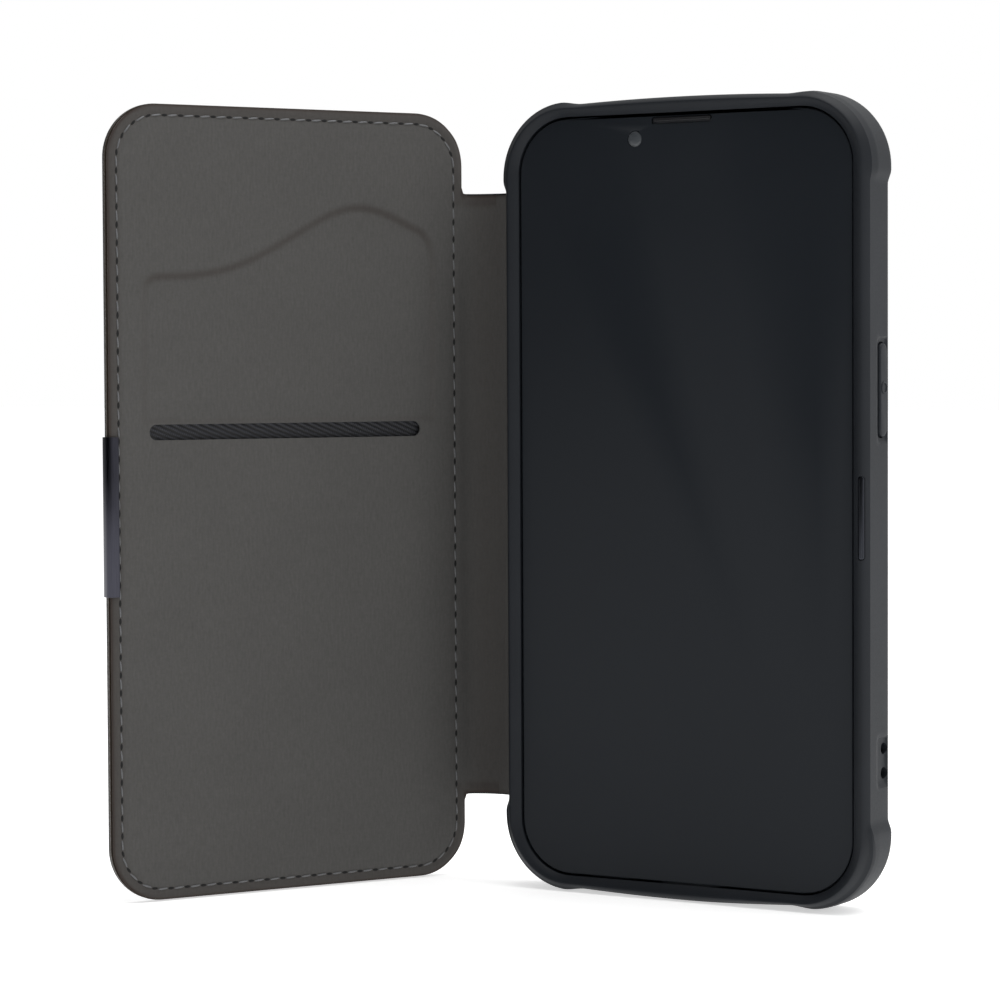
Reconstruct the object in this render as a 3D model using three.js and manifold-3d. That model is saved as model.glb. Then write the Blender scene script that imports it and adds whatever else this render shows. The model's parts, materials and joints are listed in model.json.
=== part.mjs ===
// Phone wallet case: a moulded tray that grips the handset, a leather back panel, a soft
// spine and a lined folding cover with a card pocket and a magnetic clasp.
//
// Millimetres, +Z up. The tray lies along X (width) and Z (height). Y runs from the
// handset's glass, y = 0, towards its back. The object stands on its lower edges, open
// like a book, and the whole group is moved at the end so that its origin is the middle
// of the bounding box's underside.

import * as THREE from 'three';
import { mergeVertices } from 'three/addons/utils/BufferGeometryUtils.js';
import Module from 'manifold-3d';

const wasm = await Module();
wasm.setup();

// ---------------------------------------------------------------- driving dimensions

const CURVE_STEPS = 6;          // segments in each rounded corner
const GLUE = 0.05;              // glue line between two laminated layers

// Handset that the case is made for.
const PHONE_WIDTH = 71.5;
const PHONE_HEIGHT = 146.7;
const PHONE_DEPTH = 7.65;
const PHONE_CORNER = 10.8;
const GLASS_THICKNESS = 0.6;
const GLASS_INSET = 0.3;
const EARPIECE_LENGTH = 12.4;
const EARPIECE_HEIGHT = 1.0;
const EARPIECE_BELOW_TOP = 1.2;
const FRONT_LENS_RADIUS = 1.45;
const FRONT_LENS_X = -10.1;
const FRONT_LENS_BELOW_TOP = 4.7;
const DETAIL_CLEARANCE = 0.1;   // small inserts in the glass

// Tray.
const FIT_CLEARANCE = 0.25;     // round the handset
const SIDE_WALL = 2.9;
const END_WALL = 2.25;          // top and bottom walls beside the corner pads
const END_CROWN = 0.5;          // how far the middle of the end walls bows out
const LIP_PROUD = 1.2;          // lip in front of the glass
const FLOOR_GAP = 0.3;          // handset's back to the tray's floor
const FLOOR_THICKNESS = 1.45;
const EDGE_ROUND = 1.6;
const PAD_SIDE = 0.7;           // corner pads beyond the side walls
const PAD_END = 0.4;            // corner pads beyond the end walls
const PAD_REACH = 1.4;          // pads run on past the corner's arc
const PAD_FADE = 2.6;
const BAY_LINING = 0.18;

// Openings in the tray.
const PORT_WIDTH = 12.6;
const PORT_DEPTH = 6.0;
const SPEAKER_WIDTH = 9.5;
const SPEAKER_DEPTH = 2.4;
const SPEAKER_X = 17.5;
const SWITCH_LENGTH = 8.4;
const SWITCH_DEPTH = 4.8;
const SWITCH_BELOW_TOP = 28.7;
const SWITCH_BEHIND_MIDDLE = 0.4;
const LANYARD_RADIUS = 1.1;
const LANYARD_ABOVE_BOTTOM = 25.2;
const LANYARD_SPACING = 4.6;
const LANYARD_FROM_BACK = 0.45; // handset's back to the cord holes' middle
const LANYARD_BRIDGE = 1.2;     // bar of the wall that the cord loops round
const SCOOP_DEPTH = 0.55;       // shallow pockets in the side walls
const SCOOP_AHEAD = 2.9;        // from the buttons' middle to the scoop's edges
const SCOOP_BEHIND = 2.4;
const SCOOP_MARGIN = 0.5;

// Button caps.
const CAP_DEPTH = 3.2;
const CAP_PROUD = 0.1;
const CAP_FROM_BACK = 1.45;     // handset's back to the caps' middle
const CAP_CLEARANCE = 0.25;
const CAP_FLANGE = 0.7;
const CAP_FLANGE_THICKNESS = 0.6;
const CAP_BACK_GAP = 0.6;       // handset's side to the flange, more than the travel
const CAP_STEP_GAP = 0.35;      // flange to the step that keeps the cap in
const POWER_LENGTH = 17.4;
const POWER_BELOW_TOP = 52.5;
const VOLUME_LENGTH = 10.6;
const VOLUME_UP_BELOW_TOP = 43.2;
const VOLUME_DOWN_BELOW_TOP = 56.7;

// Magnet strip in the tray's right-hand lip.
const STRIP_WIDTH = 1.1;
const STRIP_LENGTH = 15.3;
const STRIP_DEPTH = 1.6;
const STRIP_FROM_SIDE = 1.2;
const STRIP_CLEARANCE = 0.1;

// Back panel.
const BACK_BOARD = 0.8;
const BACK_SKIN = 0.8;
const BACK_INSET = 1.2;
const BACK_BOARD_INSET = 2.6;

// Camera window.
const WINDOW_WIDTH = 34.0;
const WINDOW_HEIGHT = 36.0;
const WINDOW_CORNER = 8.0;
const WINDOW_FROM_SIDE = 2.6;   // handset's edge to the window
const WINDOW_FROM_TOP = 2.6;
const RING_WIDTH = 1.9;
const RING_PROUD = 0.9;
const CAMERA_PLATE_INSET = 2.0;
const CAMERA_PLATE = 1.2;
const REAR_LENS_RADIUS = 6.2;
const REAR_LENS_PROUD = 1.3;
const FLASH_RADIUS = 2.2;

// Spine, between its two folds.
const SPINE_SLACK = 1.8;        // the spine is this much wider than the tray is deep
const SPINE_SETBACK = 16.0;     // from the cover's ends to the spine's ends
const SPINE_BULGE = 3.0;
const SPINE_SKIN = 0.55;
const SPINE_CORE = 0.4;
const SPINE_LINING = 0.45;
const SPINE_CORE_INSET = 3.0;
const TRAY_FOLD_FROM_WALL = 2.8;
const TRAY_FOLD_GAP = 1.6;      // along the arc, between the fold line and the spine's layers
const COVER_FOLD_GAP = 2.4;

// Cover.
const COVER_SHORT_SIDE = 0.5;   // the cover is this much narrower than the tray
const COVER_SHORT_END = 0.6;
const COVER_CORNER = 10.5;
const COVER_ANGLE = 61.5;       // between the spine's chord and the cover, as it stands
const COVER_LINING = 0.5;
const CARD_CLEARANCE = 0.04;    // the pocket's frame over the card's thickness
const POCKET_BACKING = 0.15;
const COVER_BOARD = 0.45;
const COVER_SKIN = 0.5;
const COVER_RIM = 2.6;
const BOARD_CLEARANCE = 0.3;
const FOLD_NOTCH = 1.7;         // the layers stay this far from the fold beside the spine
const NOTCH_MARGIN = 1.5;

// Card pocket.
const CARD_WIDTH = 85.6;        // a bank card stands on its short edge
const CARD_HEIGHT = 53.98;
const CARD_THICKNESS = 0.76;
const SLOT_SIDE_SLACK = 2.41;
const SLOT_HEIGHT = 3.0;
const SLOT_OFF_CENTRE = 0.85;
const RECESS_DEPTH = 0.4;
const RECESS_NEAR = 6.7;        // recess edge next to the fold
const RECESS_FROM_EDGE = 7.1;   // and next to the free edge
const RECESS_PEAK_BELOW_TOP = 18.6;
const RECESS_PEAK_S = 23.6;
const RECESS_SHOULDER_BELOW_TOP = 32.4;
const RECESS_CORNER = 4;
const RECESS_LAP = 0.3;
const POCKET_BOTTOM = 5.5;
const POCKET_SLACK = 0.6;
const POCKET_CLEARANCE = 0.25;

// Seam, clasp and magnet.
const SEAM_INSET = 1.9;
const SEAM_THREAD = 0.36;
const CLASP_LENGTH = 30.4;
const CLASP_BELOW_MIDDLE = 2.7;
const CLASP_THICKNESS = 0.42;
const CLASP_INNER_LEG = 1.8;
const CLASP_OUTER_LEG = 7.0;
const CLASP_GAP = 0.05;
const MAGNET_WIDTH = 2.4;
const MAGNET_LENGTH = 14.0;
const MAGNET_THICKNESS = 0.6;
const MAGNET_CLEARANCE = 0.2;

// ---------------------------------------------------------------- derived places

const trayHalfWidth = PHONE_WIDTH / 2 + FIT_CLEARANCE + SIDE_WALL;
const trayHeight = PHONE_HEIGHT + 2 * (FIT_CLEARANCE + END_WALL + END_CROWN);
const phoneBottom = END_CROWN + END_WALL + FIT_CLEARANCE;
const phoneTop = phoneBottom + PHONE_HEIGHT;
const lipFront = -LIP_PROUD;
const floorFront = PHONE_DEPTH + FLOOR_GAP;
const trayBack = floorFront + FLOOR_THICKNESS;
const boardFront = trayBack + GLUE;
const boardBack = boardFront + BACK_BOARD;
const skinFront = boardBack + GLUE;
const skinBack = skinFront + BACK_SKIN;
const capY = PHONE_DEPTH - CAP_FROM_BACK;
const lanyardY = PHONE_DEPTH - LANYARD_FROM_BACK;
const switchY = PHONE_DEPTH / 2 + SWITCH_BEHIND_MIDDLE;
const powerZ = phoneTop - POWER_BELOW_TOP;
const volumeUpZ = phoneTop - VOLUME_UP_BELOW_TOP;
const volumeDownZ = phoneTop - VOLUME_DOWN_BELOW_TOP;
const switchZ = phoneTop - SWITCH_BELOW_TOP;
const lanyardZ = phoneBottom + LANYARD_ABOVE_BOTTOM;
const claspZ = trayHeight / 2 - CLASP_BELOW_MIDDLE;
const stripX = trayHalfWidth - STRIP_FROM_SIDE;
const windowX = PHONE_WIDTH / 2 - WINDOW_FROM_SIDE - WINDOW_WIDTH / 2;
const windowZ = phoneTop - WINDOW_FROM_TOP - WINDOW_HEIGHT / 2;
const foldX = -trayHalfWidth - TRAY_FOLD_FROM_WALL;
const foldY = (boardFront + skinBack) / 2 + 0.2;
const spineWidth = skinBack - lipFront + SPINE_SLACK;
const coverWidth = 2 * trayHalfWidth - COVER_SHORT_SIDE;
const coverHeight = trayHeight - COVER_SHORT_END;
const spineBottom = SPINE_SETBACK;
const spineTop = coverHeight - SPINE_SETBACK;
const pocketFrame = CARD_THICKNESS + CARD_CLEARANCE;
const coverThickness = COVER_LINING + pocketFrame + POCKET_BACKING + COVER_BOARD
  + COVER_SKIN + 4 * GLUE;
const innerFace = coverThickness / 2;
const outerFace = -coverThickness / 2;
const slotLength = CARD_HEIGHT + 2 * SLOT_SIDE_SLACK;
const slotS = coverWidth / 2 + SLOT_OFF_CENTRE;
const slotTop = POCKET_BOTTOM + CARD_WIDTH;
const slotZ = slotTop - SLOT_HEIGHT / 2;
const recessFar = coverWidth - RECESS_FROM_EDGE;
const recessPeak = coverHeight - RECESS_PEAK_BELOW_TOP;
const recessShoulder = coverHeight - RECESS_SHOULDER_BELOW_TOP;

// ---------------------------------------------------------------- materials

function finish(color, roughness, metalness = 0) {
  return new THREE.MeshStandardMaterial({ color, roughness, metalness });
}

const TPU = () => finish(0x22262b, 0.55);
const LEATHER = () => finish(0x1c1d1f, 0.5);
const LINING = () => finish(0x4a4a48, 0.95);
const WOVEN = () => finish(0x161617, 0.9);
const BOARD = () => finish(0x8b8578, 0.9);
const THREAD = () => finish(0x8d8f90, 0.8);
const STEEL = () => finish(0x6c7078, 0.25, 1);
const MAGNET = () => finish(0x3c3e42, 0.4, 1);
const GLASS = () => finish(0x0c0d0f, 0.12);
const FRAME_METAL = () => finish(0x24272b, 0.4, 0.8);
const LENS = () => finish(0x101318, 0.08);

// ---------------------------------------------------------------- solids and shapes

function toSolid(geometry) {
  const bare = geometry.clone();
  bare.deleteAttribute('normal');
  bare.deleteAttribute('uv');
  const merged = mergeVertices(bare, 1e-4);
  return new wasm.Manifold(new wasm.Mesh({
    numProp: 3,
    vertProperties: new Float32Array(merged.attributes.position.array),
    triVerts: new Uint32Array(merged.index.array),
  }));
}

function toGeometry(solid) {
  const mesh = solid.getMesh();
  const geometry = new THREE.BufferGeometry();
  geometry.setAttribute('position', new THREE.BufferAttribute(mesh.vertProperties, 3));
  geometry.setIndex(new THREE.BufferAttribute(mesh.triVerts, 1));
  geometry.computeVertexNormals();
  return geometry;
}

function cut(base, ...tools) {
  return toGeometry(tools.reduce((solid, tool) => solid.subtract(toSolid(tool)), toSolid(base)));
}

function join(base, ...others) {
  return toGeometry(others.reduce((solid, other) => solid.add(toSolid(other)), toSolid(base)));
}

function part(name, geometry, material) {
  const mesh = new THREE.Mesh(geometry, material);
  mesh.name = name;
  return mesh;
}

function group(name, ...children) {
  const holder = new THREE.Group();
  holder.name = name;
  holder.add(...children);
  return holder;
}

// An outline drawn in X and Z, given thickness from y = front to y = back.
function slab(shape, front, back, round = 0) {
  const geometry = new THREE.ExtrudeGeometry(shape, {
    depth: back - front - 2 * round,
    curveSegments: CURVE_STEPS,
    bevelEnabled: round > 0,
    bevelThickness: round,
    bevelSize: round,
    bevelOffset: -round,
    bevelSegments: 3,
  });
  geometry.rotateX(Math.PI / 2);
  geometry.translate(0, back - round, 0);
  return geometry;
}

// An outline drawn in X and Y, given height from z = bottom to z = top.
function column(shape, bottom, top) {
  const geometry = new THREE.ExtrudeGeometry(shape, {
    depth: top - bottom,
    curveSegments: CURVE_STEPS,
    bevelEnabled: false,
  });
  geometry.translate(0, 0, bottom);
  return geometry;
}

// A cut or plug through a side wall: an outline in Y and Z between two x values.
function sideways(width, height, corner, y, z, x0, x1) {
  const geometry = new THREE.ExtrudeGeometry(roundedRect(-width / 2, -height / 2, width, height,
    corner), { depth: Math.abs(x1 - x0), curveSegments: CURVE_STEPS, bevelEnabled: false });
  geometry.rotateX(Math.PI / 2);
  geometry.rotateZ(Math.PI / 2);
  geometry.translate(Math.min(x0, x1), y, z);
  return geometry;
}

function roundedRect(x, z, width, height, corner) {
  const shape = new THREE.Shape();
  shape.moveTo(x + corner, z);
  shape.lineTo(x + width - corner, z);
  shape.absarc(x + width - corner, z + corner, corner, -Math.PI / 2, 0);
  shape.lineTo(x + width, z + height - corner);
  shape.absarc(x + width - corner, z + height - corner, corner, 0, Math.PI / 2);
  shape.lineTo(x + corner, z + height);
  shape.absarc(x + corner, z + height - corner, corner, Math.PI / 2, Math.PI);
  shape.lineTo(x, z + corner);
  shape.absarc(x + corner, z + corner, corner, Math.PI, 1.5 * Math.PI);
  return shape;
}

function centredRect(x, z, width, height, corner) {
  return roundedRect(x - width / 2, z - height / 2, width, height, corner);
}

function disc(x, z, radius, front, back) {
  const geometry = new THREE.CylinderGeometry(radius, radius, back - front, 24);
  geometry.translate(x, (front + back) / 2, z);
  return geometry;
}

function phoneOutline(grow) {
  return centredRect(0, phoneBottom + PHONE_HEIGHT / 2, PHONE_WIDTH + 2 * grow,
    PHONE_HEIGHT + 2 * grow, PHONE_CORNER + grow);
}

function windowOutline(grow) {
  return centredRect(windowX, windowZ, WINDOW_WIDTH + 2 * grow, WINDOW_HEIGHT + 2 * grow,
    WINDOW_CORNER + grow);
}

// The tray from the front: side walls straight, end walls bowed, a pad on each corner.
function trayOutline(inset) {
  const corner = PHONE_CORNER + SIDE_WALL - inset;
  const halfWidth = trayHalfWidth - inset;
  const halfHeight = trayHeight / 2 - END_CROWN - inset;
  const flat = halfWidth - corner;
  const tall = halfHeight - corner;
  const quarter = [];
  quarter.push([halfWidth, tall - PAD_REACH - PAD_FADE]);
  quarter.push([halfWidth + 0.5 * PAD_SIDE, tall - PAD_REACH - 0.45 * PAD_FADE]);
  quarter.push([halfWidth + PAD_SIDE, tall - PAD_REACH]);
  for (let i = 0; i <= 2 * CURVE_STEPS; i += 1) {
    const turn = (i / (2 * CURVE_STEPS)) * (Math.PI / 2);
    quarter.push([
      flat + (corner + PAD_SIDE) * Math.cos(turn),
      tall + (corner + PAD_END) * Math.sin(turn),
    ]);
  }
  quarter.push([flat - PAD_REACH, halfHeight + PAD_END]);
  quarter.push([flat - PAD_REACH - 0.55 * PAD_FADE, halfHeight + 0.55 * PAD_END]);
  quarter.push([flat - PAD_REACH - PAD_FADE, halfHeight]);
  quarter.push([0.72 * flat, halfHeight + 0.5 * END_CROWN]);
  quarter.push([0.45 * flat, halfHeight + END_CROWN]);
  const mirrored = [...quarter].reverse();
  const middle = trayHeight / 2;
  const outline = [
    ...quarter.map(([x, z]) => [x, middle + z]),
    ...mirrored.map(([x, z]) => [-x, middle + z]),
    ...quarter.map(([x, z]) => [-x, middle - z]),
    ...mirrored.map(([x, z]) => [x, middle - z]),
  ];
  return new THREE.Shape(outline.map(([x, z]) => new THREE.Vector2(x, z)));
}

// ---------------------------------------------------------------- tray

// A shallow pocket in a side wall, open to the back edge's rounding.
function scoop(side, length, z) {
  const width = SCOOP_AHEAD + SCOOP_BEHIND;
  const y = capY + (SCOOP_BEHIND - SCOOP_AHEAD) / 2;
  return sideways(width, length + 2 * SCOOP_MARGIN, 1.2, y, z,
    side * (trayHalfWidth - SCOOP_DEPTH), side * (trayHalfWidth + 2));
}

function capSlot(side, length, y, z) {
  const step = PHONE_WIDTH / 2 + CAP_BACK_GAP + CAP_FLANGE_THICKNESS + CAP_STEP_GAP;
  const c = CAP_CLEARANCE;
  const inner = PHONE_WIDTH / 2 - 1;
  const outer = trayHalfWidth + 2;
  const wide = CAP_DEPTH + 2 * (CAP_FLANGE + c);
  const long = length + 2 * (CAP_FLANGE + c);
  return [
    scoop(side, length + 2 * c, z),
    sideways(CAP_DEPTH + 2 * c, length + 2 * c, CAP_DEPTH / 2, y, z, side * inner, side * outer),
    sideways(wide, long, CAP_DEPTH / 2, y, z, side * inner, side * step),
  ];
}

function lanyardCuts() {
  const bridgeBack = trayHalfWidth - LANYARD_BRIDGE;
  const depth = 2 * LANYARD_RADIUS;
  const holes = [-1, 1].map((end) => sideways(depth, depth, LANYARD_RADIUS * 0.99, lanyardY,
    lanyardZ + end * LANYARD_SPACING / 2, bridgeBack - depth + 0.4, trayHalfWidth + 2));
  const channel = sideways(depth, LANYARD_SPACING + depth, LANYARD_RADIUS * 0.99, lanyardY,
    lanyardZ, bridgeBack - depth + 0.4, bridgeBack);
  return [...holes, channel, scoop(1, LANYARD_SPACING + depth + 1, lanyardZ)];
}

function bottomCut(x, y, width, depth) {
  const corner = Math.min(width, depth) / 2 * 0.98;
  return column(centredRect(x, y, width, depth, corner), -3, phoneBottom + 1);
}

function trayShell() {
  const outer = slab(trayOutline(0), lipFront, trayBack, EDGE_ROUND);
  const bay = slab(phoneOutline(FIT_CLEARANCE), lipFront - 2, floorFront);
  const camera = slab(windowOutline(0), floorFront - 2, trayBack + 2);
  const strip = slab(
    centredRect(stripX, claspZ, STRIP_WIDTH + 2 * STRIP_CLEARANCE,
      STRIP_LENGTH + 2 * STRIP_CLEARANCE, STRIP_WIDTH / 2),
    lipFront - 1,
    lipFront + STRIP_DEPTH + STRIP_CLEARANCE,
  );
  const shell = cut(
    outer,
    bay,
    camera,
    strip,
    ...capSlot(1, POWER_LENGTH, capY, powerZ),
    ...capSlot(-1, VOLUME_LENGTH, capY, volumeUpZ),
    ...capSlot(-1, VOLUME_LENGTH, capY, volumeDownZ),
    sideways(SWITCH_DEPTH, SWITCH_LENGTH, SWITCH_DEPTH / 2 * 0.98, switchY, switchZ,
      -trayHalfWidth - 2, -PHONE_WIDTH / 2 + 1),
    ...lanyardCuts(),
    bottomCut(0, PHONE_DEPTH / 2, PORT_WIDTH, PORT_DEPTH),
    bottomCut(-SPEAKER_X, PHONE_DEPTH / 2, SPEAKER_WIDTH, SPEAKER_DEPTH),
    bottomCut(SPEAKER_X, PHONE_DEPTH / 2, SPEAKER_WIDTH, SPEAKER_DEPTH),
  );
  return part('tray_shell', shell, TPU());
}

function bayLining() {
  const back = floorFront - GLUE;
  const sheet = slab(phoneOutline(-1), back - BAY_LINING, back);
  return part('bay_lining', cut(sheet, slab(windowOutline(0), 0, trayBack)), LINING());
}

function backBoard() {
  const board = slab(trayOutline(BACK_BOARD_INSET), boardFront, boardBack);
  const hole = slab(windowOutline(RING_WIDTH + GLUE), boardFront - 1, boardBack + 1);
  return part('back_board', cut(board, hole), BOARD());
}

function backSkin() {
  const skin = slab(trayOutline(BACK_INSET), skinFront, skinBack);
  const hole = slab(windowOutline(RING_WIDTH + GLUE), skinFront - 1, skinBack + 1);
  return part('back_skin', cut(skin, hole), LEATHER());
}

function cameraRing() {
  const outer = slab(windowOutline(RING_WIDTH), boardFront, skinBack + RING_PROUD);
  const inner = slab(windowOutline(0), boardFront - 1, skinBack + RING_PROUD + 1);
  return part('camera_ring', cut(outer, inner), TPU());
}

function closureStrip() {
  const shape = centredRect(stripX, claspZ, STRIP_WIDTH, STRIP_LENGTH, STRIP_WIDTH / 2 * 0.9);
  return part('closure_strip', slab(shape, lipFront + 0.1, lipFront + STRIP_DEPTH), MAGNET());
}

function buttonCap(name, side, length, y, z) {
  const flangeIn = PHONE_WIDTH / 2 + CAP_BACK_GAP;
  const flangeOut = flangeIn + CAP_FLANGE_THICKNESS;
  const face = trayHalfWidth + CAP_PROUD;
  const cap = join(
    sideways(CAP_DEPTH, length, CAP_DEPTH / 2 * 0.98, y, z, side * flangeIn, side * face),
    sideways(CAP_DEPTH + 2 * CAP_FLANGE, length + 2 * CAP_FLANGE, CAP_DEPTH / 2, y, z,
      side * flangeIn, side * flangeOut),
  );
  return part(name, cap, TPU());
}

// ---------------------------------------------------------------- spine

// A band of the spine's arc, drawn from the tray's fold (0, 0) to the cover's fold. It
// bulges outwards, towards -Y; near and far are distances inwards from the middle line.
function spineBand(outward, inward, bottom, top, inset = 0) {
  const half = spineWidth / 2;
  const radius = (half * half + SPINE_BULGE * SPINE_BULGE) / (2 * SPINE_BULGE);
  const centreY = radius - SPINE_BULGE;
  const reach = Math.asin(half / radius);
  const from = -Math.PI / 2 - reach + (TRAY_FOLD_GAP + inset) / radius;
  const to = -Math.PI / 2 + reach - (COVER_FOLD_GAP + inset) / radius;
  const shape = new THREE.Shape();
  shape.absarc(half, centreY, radius + outward, from, to, false);
  shape.absarc(half, centreY, radius - inward, to, from, true);
  return column(shape, bottom, top);
}

function spine() {
  const core = SPINE_CORE / 2;
  const near = core + GLUE;
  return [
    part('spine_skin', spineBand(near + SPINE_SKIN, -near, spineBottom, spineTop), LEATHER()),
    part('spine_core', spineBand(core, core, spineBottom + SPINE_CORE_INSET,
      spineTop - SPINE_CORE_INSET, 1), BOARD()),
    part('spine_lining', spineBand(-near, near + SPINE_LINING, spineBottom, spineTop),
      LINING()),
  ];
}

// ---------------------------------------------------------------- cover
// X runs from the fold to the free edge, +Y is the lined inner side.

// The cover's outline, set back beside the spine so that the fold has room to bend.
function coverOutline(inset) {
  const corner = COVER_CORNER - inset;
  const far = coverWidth - inset;
  const top = coverHeight - inset;
  const notch = FOLD_NOTCH + inset;
  const shape = new THREE.Shape();
  shape.moveTo(inset + corner, inset);
  shape.lineTo(far - corner, inset);
  shape.absarc(far - corner, inset + corner, corner, -Math.PI / 2, 0);
  shape.lineTo(far, top - corner);
  shape.absarc(far - corner, top - corner, corner, 0, Math.PI / 2);
  shape.lineTo(inset + corner, top);
  shape.absarc(inset + corner, top - corner, corner, Math.PI / 2, Math.PI);
  shape.lineTo(inset, spineTop + NOTCH_MARGIN + FOLD_NOTCH);
  shape.lineTo(notch, spineTop + NOTCH_MARGIN);
  shape.lineTo(notch, spineBottom - NOTCH_MARGIN);
  shape.lineTo(inset, spineBottom - NOTCH_MARGIN - FOLD_NOTCH);
  shape.absarc(inset + corner, inset + corner, corner, Math.PI, 1.5 * Math.PI);
  return shape;
}

// The pressed recess above the card slot: a low shoulder at the free edge that sweeps up
// to a rounded peak near the fold, so that a thumb reaches the card.
function recessOutline(grow) {
  const near = RECESS_NEAR - grow;
  const far = recessFar + grow;
  const base = slotTop - grow;
  const peak = recessPeak + grow;
  const shoulder = recessShoulder + grow;
  const corner = RECESS_CORNER;
  const middle = (peak + shoulder) / 2 + 0.4;
  const slope = (RECESS_PEAK_S + slotS) / 2 + 8;
  const shape = new THREE.Shape();
  shape.moveTo(near, base);
  shape.lineTo(far, base);
  shape.lineTo(far, shoulder - corner);
  shape.quadraticCurveTo(far, shoulder, far - corner, shoulder);
  shape.lineTo(far - 2.5 * corner, shoulder);
  shape.bezierCurveTo(far - 18, shoulder, slope + 7, middle - 3.8, slope, middle);
  shape.bezierCurveTo(slope - 7, middle + 3.8, RECESS_PEAK_S + 5, peak, RECESS_PEAK_S, peak);
  shape.bezierCurveTo(RECESS_PEAK_S - 5, peak, near + 8, peak - 2.4, near + corner, peak - 4);
  shape.quadraticCurveTo(near, peak - 5.6, near, peak - 11);
  return shape;
}

function coverLining() {
  const back = innerFace - COVER_LINING;
  const sheet = slab(coverOutline(0), back, innerFace);
  const recess = slab(recessOutline(0), back - 1, innerFace + 1);
  const pressed = slab(recessOutline(RECESS_LAP), back - RECESS_DEPTH,
    innerFace - RECESS_DEPTH);
  const mouth = slab(
    centredRect(slotS, slotZ, slotLength, SLOT_HEIGHT, SLOT_HEIGHT / 2 * 0.98),
    back - 1 - RECESS_DEPTH,
    innerFace + 1,
  );
  const lining = toSolid(sheet).subtract(toSolid(recess)).add(toSolid(pressed))
    .subtract(toSolid(mouth));
  return part('cover_lining', toGeometry(lining), LINING());
}

function pocketWindow(front, back) {
  const upper = slab(recessOutline(RECESS_LAP + POCKET_CLEARANCE), front, back);
  const width = slotLength + 2 * POCKET_SLACK;
  const lower = slab(
    roundedRect(slotS - width / 2, POCKET_BOTTOM, width, slotTop + 1 - POCKET_BOTTOM, 2),
    front,
    back,
  );
  return [upper, lower];
}

function magnetPlace() {
  const boardEdge = coverWidth - COVER_RIM - BOARD_CLEARANCE;
  const windowEdge = recessFar + RECESS_LAP + POCKET_CLEARANCE;
  return (boardEdge + windowEdge) / 2;
}

function coverLayers() {
  const boardInset = COVER_RIM + BOARD_CLEARANCE;
  const frameFront = innerFace - COVER_LINING - GLUE;
  const frameBack = frameFront - pocketFrame;
  const backingFront = frameBack - GLUE;
  const backingBack = backingFront - POCKET_BACKING;
  const coverBoardFront = backingBack - GLUE;
  const coverBoardBack = coverBoardFront - COVER_BOARD;
  const skinInner = coverBoardBack - GLUE;

  const magnetHole = slab(
    centredRect(magnetPlace(), claspZ, MAGNET_WIDTH + 2 * MAGNET_CLEARANCE,
      MAGNET_LENGTH + 2 * MAGNET_CLEARANCE, 0.5),
    frameBack - 1,
    frameFront + 1,
  );
  const frame = cut(slab(coverOutline(boardInset), frameBack, frameFront),
    ...pocketWindow(frameBack - 1, frameFront + 1), magnetHole);
  const magnet = slab(centredRect(magnetPlace(), claspZ, MAGNET_WIDTH, MAGNET_LENGTH, 0.4),
    frameFront - MAGNET_THICKNESS, frameFront);
  const backing = slab(coverOutline(boardInset + 0.6), backingBack, backingFront);
  const board = slab(coverOutline(boardInset), coverBoardBack, coverBoardFront);
  const rim = cut(slab(coverOutline(0), skinInner - 0.2, frameFront),
    slab(coverOutline(COVER_RIM), skinInner - 2, frameFront + 1));
  const skin = join(slab(coverOutline(0), outerFace, skinInner), rim);
  return [
    part('pocket_frame', frame, BOARD()),
    part('cover_magnet', magnet, MAGNET()),
    part('pocket_backing', backing, WOVEN()),
    part('cover_board', board, BOARD()),
    part('cover_skin', skin, LEATHER()),
  ];
}

function seamThread() {
  const loop = coverOutline(SEAM_INSET);
  loop.holes.push(coverOutline(SEAM_INSET + SEAM_THREAD));
  return part('seam_thread', slab(loop, innerFace + GLUE, innerFace + GLUE + 0.25), THREAD());
}

// A strip of sheet metal folded over the cover's free edge.
function clasp() {
  const edge = coverWidth + CLASP_GAP;
  const front = innerFace + CLASP_GAP;
  const back = outerFace - CLASP_GAP;
  const t = CLASP_THICKNESS;
  const shape = new THREE.Shape();
  shape.moveTo(coverWidth - CLASP_INNER_LEG, front);
  shape.lineTo(edge, front);
  shape.lineTo(edge, back);
  shape.lineTo(coverWidth - CLASP_OUTER_LEG, back);
  shape.lineTo(coverWidth - CLASP_OUTER_LEG, back - t);
  shape.lineTo(edge, back - t);
  shape.absarc(edge, back, t, -Math.PI / 2, 0);
  shape.absarc(edge, front, t, 0, Math.PI / 2);
  shape.lineTo(coverWidth - CLASP_INNER_LEG, front + t);
  const bottom = claspZ - CLASP_LENGTH / 2;
  return part('clasp', column(shape, bottom, bottom + CLASP_LENGTH), STEEL());
}

// ---------------------------------------------------------------- handset

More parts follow.
